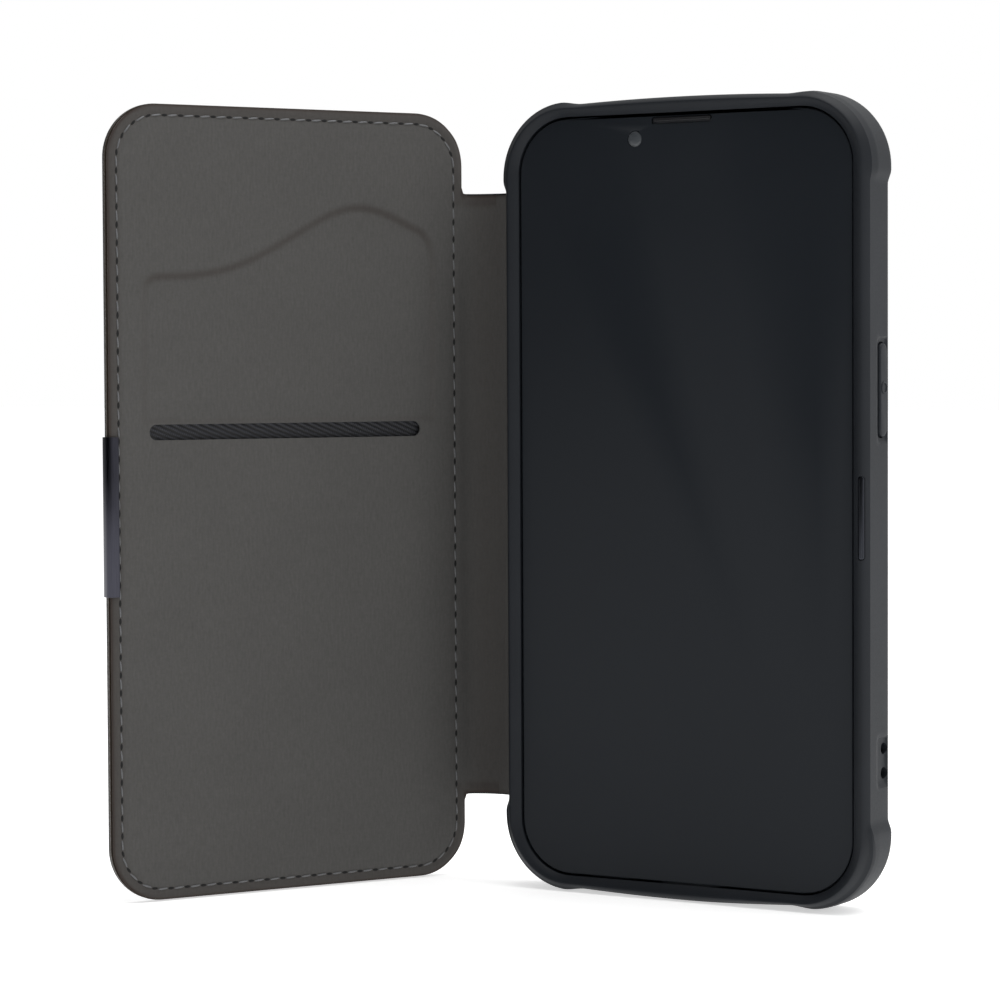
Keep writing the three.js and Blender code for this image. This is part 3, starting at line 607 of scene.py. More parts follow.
frame["nodes"]["cover_magnet"].data.materials.append(plated)

# ---------------------------------------------------------------- the folds
# Leather and lining are cut and worked flat, then folded: out from the cover's free edge,
# round the spine and on to the tray's back. The line below is the middle of that wrap, seen
# from above; u runs along it from the cover's fold, positive over the cover.
COVER_TURN = math.radians(61.5)       # between the spine's chord and the cover
SPINE_BULGE = 3.0
COVER_WIDTH = 77.3
joints = {joint["name"]: joint for joint in frame["joints"]}
tray_fold = np.array(joints["spine_fold"]["pos_m"][:2]) / MM
cover_fold = np.array(joints["cover_fold"]["pos_m"][:2]) / MM
cover_way = np.array([-math.cos(COVER_TURN), -math.sin(COVER_TURN)])
half_chord = (tray_fold[0] - cover_fold[0]) / 2
spine_radius = (half_chord ** 2 + SPINE_BULGE ** 2) / (2 * SPINE_BULGE)
spine_centre = (tray_fold + cover_fold) / 2 + (0, SPINE_BULGE - spine_radius)
spine_reach = math.asin(half_chord / spine_radius)
NEAR_COVER = spine_reach - 2.4 / spine_radius    # the arc's stiff part ends here
NEAR_TRAY = spine_reach - 1.6 / spine_radius
COVER_START = 1.7                                # and the cover's stiff part starts here
BACK_START = body_low[0] - 2.6                   # the back panel's edge


def curve(start, start_way, end, end_way, pull=0.4, steps=16):
    """A smooth bend between two lines that are met end on."""
    reach = np.linalg.norm(end - start) * pull
    t = np.linspace(0, 1, steps)[:, None]
    a, b = start + start_way * reach, end - end_way * reach
    return (start * (1 - t) ** 3 + 3 * a * t * (1 - t) ** 2 + 3 * b * t * t * (1 - t)
        + end * t ** 3)


def on_arc(turn):
    return spine_centre + spine_radius * np.array([math.sin(turn), math.cos(turn)])


def along_arc(turn):
    return np.array([math.cos(turn), -math.sin(turn)])


line = [cover_fold + cover_way * (COVER_WIDTH + 4), cover_fold + cover_way * COVER_START]
line += list(curve(line[-1], -cover_way, on_arc(-NEAR_COVER), along_arc(-NEAR_COVER))[1:])
line += [on_arc(t) for t in np.linspace(-NEAR_COVER, NEAR_TRAY, 60)[1:]]
line += list(curve(line[-1], along_arc(NEAR_TRAY), np.array([BACK_START, tray_fold[1]]),
    np.array([1.0, 0.0]))[1:])
line.append(np.array([shell_high[0] + 4, tray_fold[1]]))
line = np.array(line)
gone = np.concatenate([[0], np.cumsum(np.linalg.norm(np.diff(line, axis=0), axis=1))])
u_line = COVER_WIDTH + 4 - gone
u_mid = float(np.interp(spine_centre[0], line[1:, 0][u_line[1:] > -20],
    u_line[1:][u_line[1:] > -20]))
u_back = float(np.interp(BACK_START, line[:, 0], u_line))
heading = np.gradient(line, gone, axis=0)
heading /= np.linalg.norm(heading, axis=1)[:, None]


def folded(piece, rise):
    """Folds a flat piece: its X is u, its Z stays, and its Y, with rise(u) added, is how far
    it lies to the inner side of the line."""
    at = points(piece)
    u = at[:, 0]
    x, y = (np.interp(-u, -u_line, line[:, i]) for i in (0, 1))
    way_x, way_y = (np.interp(-u, -u_line, heading[:, i]) for i in (0, 1))
    size = np.hypot(way_x, way_y)
    off = at[:, 1] + rise(u)
    put(piece, np.stack([x + off * way_y / size, y - off * way_x / size, at[:, 2]], 1))


def spaced(marks, step):
    """Lines through all the marks, no further apart than the step."""
    lines = [marks[0]]
    for a, b in zip(marks, marks[1:]):
        count = max(1, math.ceil((b - a) / step))
        lines += [a + (b - a) * i / count for i in range(1, count + 1)]
    return np.array(lines)


FILLET = 1.6           # in the inner corner where a panel meets the spine's tab
TAB_BOTTOM, TAB_TOP = 16.0, 136.1
MIDDLE_HEIGHT = 76


class Cut:
    """The flat cut of one panel with its half of the spine: a rounded rectangle from near to
    far, and a tab that runs from near back to the middle of the spine."""

    def __init__(self, tab, near, far, bottom, top, corner, tab_inset=0.0):
        self.tab, self.near, self.far = tab, near, far
        self.bottom, self.top, self.corner = bottom, top, corner
        self.tab_bottom, self.tab_top = TAB_BOTTOM + tab_inset, TAB_TOP - tab_inset

    def mesh(self, name, step):
        c = self.corner
        across = spaced([self.tab, self.near, self.near + c, self.far - c, self.far], step)
        up = spaced([self.bottom, self.bottom + c, self.tab_bottom, self.tab_top,
            self.top - c, self.top], step)
        piece, column, row = grid(name, len(across), len(up))
        w, z = across[column], up[row]
        put(piece, np.stack([w, np.zeros(len(w)), z], 1))
        removed(piece, lambda middle, normal: middle[0] < self.near - 0.01
            and not self.tab_bottom < middle[2] < self.tab_top)
        at = points(piece)
        w, z = rounded(at[:, 0], at[:, 2], self.near, self.far, self.bottom, self.top, c)
        away = self.near - w
        arc = FILLET - np.sqrt(np.maximum(FILLET ** 2 - np.clip(FILLET - away, 0, FILLET) ** 2, 0))
        rise = np.where(away >= 0, arc, FILLET * (1 - smooth(-away, 0, 4)))
        z = z + rise * (1 - smooth(np.abs(z - self.tab_top), 0, 5)) * (z > MIDDLE_HEIGHT)
        z = z - rise * (1 - smooth(np.abs(z - self.tab_bottom), 0, 5)) * (z < MIDDLE_HEIGHT)
        put(piece, np.stack([w, at[:, 1], z], 1))
        return piece

    def way_out(self, w, z):
        """The direction out of the cut at points on or beyond its outline."""
        c = self.corner
        x = np.where(w > self.far - c, w - self.far + c, np.where(w < self.near + c,
            w - self.near - c, 0.0))
        y = np.where(z > self.top - c, z - self.top + c, np.where(z < self.bottom + c,
            z - self.bottom - c, 0.0))
        near_edge = (np.abs(w - self.near) < 1.2) & (y == 0)
        x = np.where(near_edge, -1.0, np.where((np.abs(x) < c - 1.3) & (y == 0), 0.0, x))
        on_top = (np.minimum(self.top - z, z - self.bottom) < 1.2) & (np.abs(x) < 1e-6)
        y = np.where(on_top, np.sign(z - MIDDLE_HEIGHT), y)
        on_tab = (w < self.near + 0.01) & (z > self.tab_bottom - FILLET - 0.9) & (
            z < self.tab_top + FILLET + 0.9)
        middle = np.where(z > MIDDLE_HEIGHT, self.tab_top + FILLET, self.tab_bottom - FILLET)
        to_x, to_y = self.near - FILLET - w, middle - z
        x = np.where(on_tab, np.where(to_x < 0, to_x, 0.0), x)
        y = np.where(on_tab, to_y, y)
        size = np.maximum(np.hypot(x, y), 1e-9)
        return x / size, y / size

    def inset_of(self, w, z):
        """How far inside the outline a point is."""
        c = self.corner
        a = np.maximum(np.maximum(w - self.far + c, self.near + c - w), 0)
        b = np.maximum(np.maximum(z - self.top + c, self.bottom + c - z), 0)
        panel = c - np.hypot(a, b)
        on_tab = (w < self.near + 6) & (z > self.tab_bottom) & (z < self.tab_top)
        tab = np.minimum(z - self.tab_bottom, self.tab_top - z)
        return np.where(on_tab, np.maximum(tab, np.where(w > self.near, panel, -9)), panel)


def faced(piece, test):
    """Selects the faces whose middle and normal pass the test, in edit mode."""
    only(piece)
    at = points(piece)
    bpy.ops.object.mode_set(mode="EDIT")
    bpy.ops.mesh.select_mode(type="FACE")
    bpy.ops.mesh.select_all(action="DESELECT")
    bpy.ops.object.mode_set(mode="OBJECT")
    for polygon in piece.data.polygons:
        polygon.select = bool(test(at[list(polygon.vertices)].mean(0), polygon.normal))
    bpy.ops.object.mode_set(mode="EDIT")


def removed(piece, test):
    """Deletes the faces whose middle and normal pass the test."""
    faced(piece, test)
    bpy.ops.mesh.delete(type="FACE")
    bpy.ops.object.mode_set(mode="OBJECT")


def turned(piece, cut, steps):
    """Turns the edge of a flat piece over: each step draws its open edge, except at the end
    of the tab, so far out and so far to the inner side."""
    last_out = last_rise = 0
    for out, rise in steps:
        only(piece)
        bpy.ops.object.mode_set(mode="EDIT")
        bpy.ops.mesh.select_mode(type="EDGE")
        bpy.ops.mesh.select_all(action="DESELECT")
        bpy.ops.mesh.select_non_manifold(extend=False, use_wire=False, use_multi_face=False,
            use_non_contiguous=False, use_verts=False)
        bpy.ops.object.mode_set(mode="OBJECT")
        at = points(piece)
        for edge in piece.data.edges:
            if edge.select and max(at[i][0] for i in edge.vertices) < cut.tab + 0.01:
                edge.select = False
        bpy.ops.object.mode_set(mode="EDIT")
        bpy.ops.mesh.extrude_edges_move()
        bpy.ops.object.mode_set(mode="OBJECT")
        at = points(piece)
        chosen = np.array([vertex.select for vertex in piece.data.vertices])
        x, z = cut.way_out(at[:, 0], at[:, 2])
        on_panel = 0.3 + 0.7 * smooth(at[:, 0], cut.near - 3, cut.near + 1)
        at[:, 0] += np.where(chosen, x * (out - last_out), 0)
        at[:, 2] += np.where(chosen, z * (out - last_out), 0)
        at[:, 1] += np.where(chosen, (rise - last_rise) * on_panel, 0)
        put(piece, at)
        last_out, last_rise = out, rise


MAP = 200              # one unit of a sheet's own map is this many millimetres


def mapped(piece, cut=None):
    """The sheet's own map is its flat cut, so that a pattern bends with it."""
    at = points(piece)
    if cut:
        x, z = cut.way_out(at[:, 0], at[:, 2])
        at[:, 0] += x * at[:, 1]
        at[:, 2] += z * at[:, 1]
    loops = np.empty(len(piece.data.loops), int)
    piece.data.loops.foreach_get("vertex_index", loops)
    layer = piece.data.uv_layers[0]
    layer.data.foreach_set("uv", (at[loops][:, [0, 2]] / MAP + (0.3, 0.05)).ravel())


def painted(piece, name, values):
    """Keeps a number at each point, for the material to read."""
    layer = piece.data.attributes.new(name, "FLOAT", "POINT")
    layer.data.foreach_set("value", values.astype(np.float32))


# ---------------------------------------------------------------- outer leather
# Coated split leather, 0.55 mm, in two panels that meet along the middle of the spine: one
# over the tray's back board, one over the cover. Its edge is skived and turned over the
# boards towards the lining, and the raw edge is dyed brown-black.

# Pebbled, coated leather: near black, half matt. The pebbles are 0.5 mm in the hide and are
# drawn at 0.8 mm so that they show.
leather, hide = material("pebbled_coated_leather", "1D1E20", 0.46, IOR=1.5)
flat_map = add(hide, "ShaderNodeUVMap", {}).outputs["UV"]
warp = add(hide, "ShaderNodeTexNoise", {"Vector": flat_map, "Scale": 90.0, "Detail": 2.0})
moved = add(hide, "ShaderNodeMix", {"Factor": 0.012, "A": flat_map,
    "B": warp.outputs["Color"]}, data_type="VECTOR")
cells = add(hide, "ShaderNodeTexVoronoi", {"Vector": moved.outputs["Result"],
    "Scale": MAP / 0.8}, feature="DISTANCE_TO_EDGE")
pebble = add(hide, "ShaderNodeMapRange", {"Value": cells.outputs["Distance"], "From Max": 0.22})
pores = add(hide, "ShaderNodeTexNoise", {"Vector": flat_map, "Scale": MAP / 0.25, "Detail": 3.0})
height = add(hide, "ShaderNodeMath", {0: pebble.outputs["Result"], 1: pores.outputs["Fac"]})
tone = add(hide, "ShaderNodeMix", {"Factor": pebble.outputs["Result"], "A": linear("0C0C0D"),
    "B": linear("1A1B1D")}, data_type="RGBA")
edge = add(hide, "ShaderNodeAttribute", {}, attribute_name="dyed_edge_and_painted_shade")
dyed = add(hide, "ShaderNodeMix", {"Factor": edge.outputs["Fac"], "A": tone.outputs["Result"],
    "B": linear("33291F")}, data_type="RGBA")
link(hide, dyed.outputs["Result"], "Base Color")
rough = add(hide, "ShaderNodeMapRange", {"Value": pebble.outputs["Result"], "To Min": 0.58,
    "To Max": 0.38})
link(hide, rough.outputs["Result"], "Roughness")
bump = add(hide, "ShaderNodeBump", {"Height": height.outputs["Value"], "Strength": 0.55,
    "Distance": 0.09 * MM})
link(hide, bump.outputs["Normal"], "Normal")

LEATHER = 0.55
TURN = 0.45            # the turned edge's reach beyond the flat
HALF = LEATHER / 2
LEATHER_OFF = -0.525   # its middle, to the inner side of the line of the wrap
COVER_CORNER = 10.5
BACK_CORNER = 12.5
BACK_SHORT = 0.75      # the leather stops short of the tray's right-hand edge
TURN_STEPS = [(0.18, 0.03), (0.32, 0.12), (0.42, 0.28), (TURN, 0.5), (TURN, 0.95), (TURN, 1.4)]
cover_low, cover_high = corners_of("cover_skin")
COVER_HEIGHT = cover_high[2] - cover_low[2]
cover_leather_cut = Cut(u_mid, TURN + HALF, COVER_WIDTH - TURN - HALF, TURN + HALF,
    COVER_HEIGHT - TURN - HALF, COVER_CORNER - TURN - HALF, TURN)
cover_leather = cover_leather_cut.mesh("cover_leather", 0.9)
turned(cover_leather, cover_leather_cut, TURN_STEPS)
painted(cover_leather, "dyed_edge_and_painted_shade", smooth(points(cover_leather)[:, 1], 0.5, 1.1))
mapped(cover_leather, cover_leather_cut)
folded(cover_leather, lambda u: LEATHER_OFF - 0.5 * smooth(u, -3, 2))
face_out(cover_leather)
thicken(cover_leather, LEATHER)
dress(cover_leather, leather, 50)
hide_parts("cover_skin")

back_low, back_high = corners_of("back_skin")
back_far = -float(np.interp(back_high[0], line[:, 0], u_line))
back_near = -u_back
back_leather_cut = Cut(-u_mid, back_near + TURN + HALF, back_far - TURN - HALF - BACK_SHORT,
    back_low[2] + TURN + HALF, back_high[2] - TURN - HALF, BACK_CORNER - TURN - HALF, TURN)
back_leather = back_leather_cut.mesh("back_leather", 0.9)
turned(back_leather, back_leather_cut, TURN_STEPS[:5])
painted(back_leather, "dyed_edge_and_painted_shade", 0.25 * smooth(points(back_leather)[:, 1], 0.5, 1.1))
mapped(back_leather, back_leather_cut)
put(back_leather, points(back_leather) * (-1, 1, 1))
folded(back_leather, lambda u: LEATHER_OFF + 0.175 * smooth(-u, back_near - 5, back_near))
face_out(back_leather)
thicken(back_leather, LEATHER)
cut_out(back_leather, slab("window", window_low - (0.05, 3, 0.05), window_high + (0.05, 3, 0.05),
    ring_corner, 1))
dress(back_leather, leather, 50)
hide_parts("back_skin", "spine_skin")


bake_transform(cover_leather)
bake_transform(back_leather)


# ---------------------------------------------------------------- suede lining
# Brushed suede cloth, 0.5 mm, glued over the inside: one panel on the cover with the card
# slot die-cut through it and the thumb recess pressed in, one on the spine that is tucked
# between the tray and its back panel. The seam draws a shallow groove round the cover.

# Brushed suede cloth: mid grey, fully matt, with a soft sheen off the nap. The ground weave
# is 0.2 mm and is drawn at 0.45 mm so that its upright lines just show.
suede, nap = material("brushed_suede_cloth", "4D4C4B", 0.95, Sheen_Weight=0.12,
    Sheen_Roughness=0.5, Specular_IOR_Level=0.2)
flat_map = add(nap, "ShaderNodeUVMap", {}).outputs["UV"]
upright = add(nap, "ShaderNodeMapping", {"Vector": flat_map, "Scale": (MAP / 0.45, MAP / 2.2, 1)})
warp_lines = add(nap, "ShaderNodeTexNoise", {"Vector": upright.outputs["Vector"], "Scale": 1.0,
    "Detail": 2.0})
fuzz = add(nap, "ShaderNodeTexNoise", {"Vector": flat_map, "Scale": MAP / 0.6, "Detail": 4.0,
    "Roughness": 0.6})
cloudy = add(nap, "ShaderNodeTexNoise", {"Vector": flat_map, "Scale": MAP / 14, "Detail": 3.0})
weave = add(nap, "ShaderNodeMix", {"Factor": 0.5, "A": warp_lines.outputs["Fac"],
    "B": fuzz.outputs["Fac"]})
tone = add(nap, "ShaderNodeMix", {"Factor": weave.outputs["Result"], "A": linear("41403F"),
    "B": linear("595856")}, data_type="RGBA")
patch = add(nap, "ShaderNodeMapRange", {"Value": cloudy.outputs["Fac"], "From Min": 0.35,
    "From Max": 0.65, "To Min": 0.98, "To Max": 1.02})
shade = add(nap, "ShaderNodeMix", {"Factor": 1.0, "A": tone.outputs["Result"],
    "B": patch.outputs["Result"]}, data_type="RGBA", blend_type="MULTIPLY")
# The attribute darkens the cloth towards brown-black: at its dyed raw edge, and as painted shade on
# the recess's upper rim, towards the fold and over the spine.
edge = add(nap, "ShaderNodeAttribute", {}, attribute_name="dyed_edge_and_painted_shade")
edge_and_shade_mix = add(nap, "ShaderNodeMix", {"Factor": edge.outputs["Fac"], "A": shade.outputs["Result"],
    "B": linear("352D29")}, data_type="RGBA")
link(nap, edge_and_shade_mix.outputs["Result"], "Base Color")
bump = add(nap, "ShaderNodeBump", {"Height": weave.outputs["Result"], "Strength": 0.35,
    "Distance": 0.06 * MM})
link(nap, bump.outputs["Normal"], "Normal")

CLOTH = 0.5
CLOTH_OFF = 0.475      # its middle on the spine, to the inner side of the line of the wrap
CLOTH_INSET = 0.2      # the leather's edge frames the lining
CLOTH_TOP = 1.3        # face of the lining above the middle of the cover
SEAM_INSET = 2.1
SLOT = (58.8, 3.0)
SLOT_MIDDLE = (39.5, 89.6)
RECESS_DEPTH = 0.42


def bezier(start, a, b, end, steps=14):
    t = np.linspace(0, 1, steps)[1:, None]
    start, a, b, end = (np.array(p, float) for p in (start, a, b, end))
    return list(start * (1 - t) ** 3 + 3 * a * t * (1 - t) ** 2 + 3 * b * t * t * (1 - t)
        + end * t ** 3)


def recess_outline():
    """A low shoulder at the free edge sweeps up to a rounded peak near the fold."""
    near, far, base, peak, shoulder, corner = 6.7, 70.2, 91.1, 133.5, 119.7, 4.0
    crest, slope, middle = 23.6, 39.55, 127.0
    outline = [(near, base), (far, base), (far, shoulder - corner)]
    outline += bezier(outline[-1], (far, shoulder - 1.3), (far - 1.3, shoulder),
        (far - corner, shoulder), 7)
    outline += bezier(outline[-1], (far - 18, shoulder), (slope + 7, middle - 3.8),
        (slope, middle))
    outline += bezier(outline[-1], (slope - 7, middle + 3.8), (crest + 5, peak), (crest, peak))
    outline += bezier(outline[-1], (crest - 5, peak), (near + 8, peak - 2.4),
        (near + corner, peak - 4))
    outline += bezier(outline[-1], (near + 1, peak - 5), (near, peak - 8), (near, peak - 11), 7)
    return np.array(outline)


def depth_inside(outline, x, z):
    """How far inside a closed outline each point is; outside it is negative."""
    best = np.full(len(x), np.inf)
    inside = np.zeros(len(x), bool)
    for (ax, az), (bx, bz) in zip(outline, np.roll(outline, -1, 0)):
        length = max((bx - ax) ** 2 + (bz - az) ** 2, 1e-9)
        t = np.clip(((x - ax) * (bx - ax) + (z - az) * (bz - az)) / length, 0, 1)
        best = np.minimum(best, np.hypot(x - ax - t * (bx - ax), z - az - t * (bz - az)))
        crosses = (az > z) != (bz > z)
        at = ax + (z - az) * (bx - ax) / (bz - az if bz != az else 1e-9)
        inside ^= crosses & (x < at)
    return np.where(inside, best, -best)


cover_cloth_cut = Cut(u_mid, CLOTH_INSET, COVER_WIDTH - CLOTH_INSET, CLOTH_INSET,
    COVER_HEIGHT - CLOTH_INSET, COVER_CORNER - CLOTH_INSET, 0.15)
seam_cut = Cut(0, SEAM_INSET + 0.2, COVER_WIDTH - SEAM_INSET + 0.1, SEAM_INSET + 0.1,
    COVER_HEIGHT - SEAM_INSET - 0.1, 8.6)


def seam_distance(s, z):
    """How far a point on the cover is from the line of the seam."""
    c = seam_cut.corner
    a = np.maximum(np.maximum(s - seam_cut.far + c, seam_cut.near + c - s), 0)
    b = np.maximum(np.maximum(z - seam_cut.top + c, seam_cut.bottom + c - z), 0)
    return np.abs(c - np.hypot(a, b))


def pressing(s, z):
    """How far the cloth is pressed in: recess, seam groove and the soft edge."""
    recess = RECESS_DEPTH * smooth(depth_inside(recess_outline(), s, z), -0.3, 0.9)
    groove = 0.13 * (1 - smooth(seam_distance(s, z), 0.1, 0.9))
    soft_edge = 0.22 * (1 - smooth(cover_cloth_cut.inset_of(s, z), 0, 0.8))
    waves = 0.05 * np.sin(s / 9 + 1) * np.sin(z / 13 + 0.4) + 0.03 * np.sin(s / 5 + z / 7)
    waves = waves * smooth(seam_distance(s, z), 0.5, 6) * (s > 4)
    return recess + groove + soft_edge + waves


cover_cloth = cover_cloth_cut.mesh("cover_cloth", 0.56)
flat = points(cover_cloth)
inset = cover_cloth_cut.inset_of(flat[:, 0], flat[:, 2])
# Painted shade on the recess's rim, stronger where the slope faces down, away from the light.
inside = [depth_inside(recess_outline(), flat[:, 0], flat[:, 2] + up) for up in (-0.4, 0, 0.4)]
facing_down = np.clip((inside[0] - inside[2]) / 0.8, 0, 1)
painted_recess_shade = (1 - smooth(np.abs(inside[1] - 0.4), 0.1, 1.2)) * (0.14 + 0.3 * facing_down)
# The dyed raw edge along the outline, a darker band outside the seam, the painted recess shade, and
# painted shade towards the fold and over the spine's tab.
painted(cover_cloth, "dyed_edge_and_painted_shade", 1 - 0.68 * smooth(inset, 0.05, 0.7)
    - 0.32 * smooth(inset, SEAM_INSET - 0.4, SEAM_INSET + 0.5) + painted_recess_shade
    + 0.2 * smooth(-flat[:, 0], -1, 5))
flat[:, 1] -= pressing(flat[:, 0], flat[:, 2])
put(cover_cloth, flat)
mapped(cover_cloth)
thicken(cover_cloth, CLOTH)
cut_out(cover_cloth, slab("card_slot",
    (SLOT_MIDDLE[0] - SLOT[0] / 2, -3, SLOT_MIDDLE[1] - SLOT[1] / 2),
    (SLOT_MIDDLE[0] + SLOT[0] / 2, 3, SLOT_MIDDLE[1] + SLOT[1] / 2), SLOT[1] / 2.04, 1))
folded(cover_cloth, lambda u: CLOTH_OFF
    + (CLOTH_TOP - CLOTH / 2 - CLOTH_OFF) * smooth(u, -3, 2))
face_out(cover_cloth)
dress(cover_cloth, suede, 50)
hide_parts("cover_lining")
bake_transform(cover_cloth)

# The spine's panel of the same cloth.
tuck = -float(np.interp(shell_low[0] + 2.9, line[:, 0], u_line))
rows = spaced([TAB_BOTTOM + 0.15, TAB_TOP - 0.15], 0.8)
columns = spaced([-u_mid, tuck], 0.5)
spine_cloth, column, row = grid("spine_cloth", len(columns), len(rows))
put(spine_cloth, np.stack([-columns[column], np.zeros(len(column)), rows[row]], 1))
# Painted shade over the spine's cloth, darkest at the middle of the spine and fading towards the
# tray, plus the dyed raw edge at its top and bottom.
painted(spine_cloth, "dyed_edge_and_painted_shade", 1 - 0.45 * smooth(np.minimum(rows[row] - TAB_BOTTOM,
    TAB_TOP - rows[row]), 0.15, 0.85) - 0.03 * columns[column] - 0.1)
mapped(spine_cloth)
folded(spine_cloth, lambda u: CLOTH_OFF + 0.15 * smooth(-u, back_near - 5, back_near))
thicken(spine_cloth, CLOTH)
face_out(spine_cloth)
dress(spine_cloth, suede, 50)
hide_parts("spine_lining")
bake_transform(spine_cloth)

# ---------------------------------------------------------------- pocket tape
# Woven twill tape behind the card slot, glued to the cover's board. It closes the back of
# the pocket, and its diagonal ribs show through the slot.

# Polyester twill: near black, with ribs 0.9 mm apart whose tops are painted lighter as a painted
# highlight and whose grooves are painted darker as painted shade.
twill, yarn = material("woven_twill_tape", "242428", 0.6)
flat_map = add(yarn, "ShaderNodeUVMap", {}).outputs["UV"]
turn = add(yarn, "ShaderNodeMapping", {"Vector": flat_map, "Scale": (MAP, MAP, 1),
    "Rotation": (0, 0, math.radians(67))})
ribs = add(yarn, "ShaderNodeTexWave", {"Vector": turn.outputs["Vector"], "Scale": 0.36,
    "Distortion": 0.8, "Detail": 1.0, "Detail Scale": 1.5}, bands_direction="X")
threads = add(yarn, "ShaderNodeTexWave", {"Vector": turn.outputs["Vector"], "Scale": 0.75,
    "Distortion": 0.5}, bands_direction="Y")
crossed = add(yarn, "ShaderNodeMath", {0: ribs.outputs["Fac"], 1: threads.outputs["Fac"]},
    operation="MULTIPLY")
relief = add(yarn, "ShaderNodeMix", {"Factor": 0.6, "A": ribs.outputs["Fac"],
    "B": crossed.outputs["Value"]})
# Painted highlight on the ribs and painted shade in the grooves: the colour follows the relief.
tone = add(yarn, "ShaderNodeMix", {"Factor": relief.outputs["Result"], "A": linear("070708"),
    "B": linear("3B3C43")}, data_type="RGBA")
link(yarn, tone.outputs["Result"], "Base Color")
bump = add(yarn, "ShaderNodeBump", {"Height": relief.outputs["Result"], "Strength": 0.7,
    "Distance": 0.15 * MM})
link(yarn, bump.outputs["Normal"], "Normal")

TAPE_INSET = 3.5
tape = flat_cloth("pocket_tape", (TAPE_INSET + 1.7, -0.175, TAPE_INSET),
    (COVER_WIDTH - TAPE_INSET, -0.175, COVER_HEIGHT - TAPE_INSET), 7.0, 1.6)
mapped(tape)
thicken(tape, 0.15)
folded(tape, lambda u: 0 * u)
face_out(tape)
dress(tape, twill, 50)
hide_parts("pocket_backing")
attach(tape, "cover")

# ---------------------------------------------------------------- seam
# Lockstitch in bonded grey thread, 3.4 mm to the stitch, right round the cover and through
# all its layers, so that it shows inside and out. Each stitch dips into a needle hole.

# Bonded polyester thread: mid grey, a little glossy. Its plies are 0.1 mm and are drawn at
# 0.2 mm so that they show.
thread, ply = material("bonded_polyester_thread", "8A8B8C", 0.45)
place = add(ply, "ShaderNodeTexCoord", {}).outputs["Object"]
twist = add(ply, "ShaderNodeTexNoise", {"Vector": place, "Scale": 5000, "Detail": 2})
tone = add(ply, "ShaderNodeMix", {"Factor": twist.outputs["Fac"], "A": linear("464748"),
    "B": linear("767779")}, data_type="RGBA")
link(ply, tone.outputs["Result"], "Base Color")
# Needle hole: a flat near-black disc on the cloth, painted shade for the hole's depth, with a faint
# mottle.
hole_shade_finish, pit = material("painted_needle_hole_shade", "0E0E0E", 0.9)
place = add(pit, "ShaderNodeTexCoord", {}).outputs["Object"]
hole_mottle = add(pit, "ShaderNodeTexNoise", {"Vector": place, "Scale": 4000})
tone = add(pit, "ShaderNodeMix", {"Factor": hole_mottle.outputs["Fac"], "A": linear("080808"),
    "B": linear("161616")}, data_type="RGBA")
link(pit, tone.outputs["Result"], "Base Color")

STITCH = 3.42
STITCH_SHOWN = 2.3
STITCH_SLANT = math.radians(5)
THREAD_RADIUS = 0.19
DIP = 0.26             # how far a stitch's ends go down into the cloth


def seam_stations():
    """Middles and directions of the stitches round the cover, evenly spaced."""
    wide = (seam_cut.far - seam_cut.near) / 2
    tall = (seam_cut.top - seam_cut.bottom) / 2
    loop = round_outline(wide, tall, seam_cut.corner, (40, 20), 24)
    loop = loop + ((seam_cut.far + seam_cut.near) / 2, (seam_cut.top + seam_cut.bottom) / 2)
    closed = np.concatenate([loop, loop[:1]])
    run = np.concatenate([[0], np.cumsum(np.linalg.norm(np.diff(closed, axis=0), axis=1))])
    count = round(run[-1] / STITCH)
    at = np.arange(count) * run[-1] / count
    middle = np.stack([np.interp(at, run, closed[:, i]) for i in (0, 1)], 1)
    ahead = np.stack([np.interp((at + 0.3) % run[-1], run, closed[:, i]) for i in (0, 1)], 1)
    hole = np.stack([np.interp((at + run[-1] / count / 2) % run[-1], run, closed[:, i])
        for i in (0, 1)], 1)
    way = ahead - middle
    return middle, way / np.linalg.norm(way, axis=1)[:, None], hole


def round_the_cover(name, rings, places, way, shape, finish):
    """Rounded beads in one mesh, one at each place; the shape of a bead is how far each of its
    points lies along the seam, across it and to the inner side of the cover."""
    bpy.ops.object.select_all(action="DESELECT")
    bpy.ops.mesh.primitive_uv_sphere_add(segments=8, ring_count=rings, radius=1)
    piece = started(name)
    along, across, inner_side = shape(points(piece) / 1000)
    finish_with(piece, "ARRAY", count=len(places), use_relative_offset=False,
        use_constant_offset=True, constant_offset_displace=(0.01, 0, 0))
    normal = np.stack([way[:, 1], -way[:, 0]], 1)
    flat = places[:, None] + along[None, :, None] * way[:, None] \
        + across[None, :, None] * normal[:, None]
    y = np.broadcast_to(inner_side, flat.shape[:2])
    put(piece, np.stack([flat[..., 0], y, flat[..., 1]], -1).reshape(-1, 3))
    folded(piece, lambda u: 0 * u)
    face_out(piece, 0.00001)
    dress(piece, finish, 60)
    return piece


def row_of_stitches(name, side, rise):
    def stitch(bead):
        along = bead[:, 2] * STITCH_SHOWN / 2
        across = bead[:, 0] * THREAD_RADIUS + along * math.sin(STITCH_SLANT)
        up = bead[:, 1] * THREAD_RADIUS - DIP * bead[:, 2] ** 4
        return along, across, side * (rise + up)

    middle, way, hole = seam_stations()
    return round_the_cover(name, 7, middle, way, stitch, thread)


# Painted shade: a flat dark disc lies on the surface at each needle hole.
def needle_holes(name, side, rise):
    def flattened(bead):
        return bead[:, 2] * 0.62, bead[:, 0] * 0.26, side * (rise + 0.04 * bead[:, 1])

    middle, way, hole = seam_stations()
    piece = round_the_cover(name, 4, hole, way, flattened, hole_shade_finish)
    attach(piece, "cover")


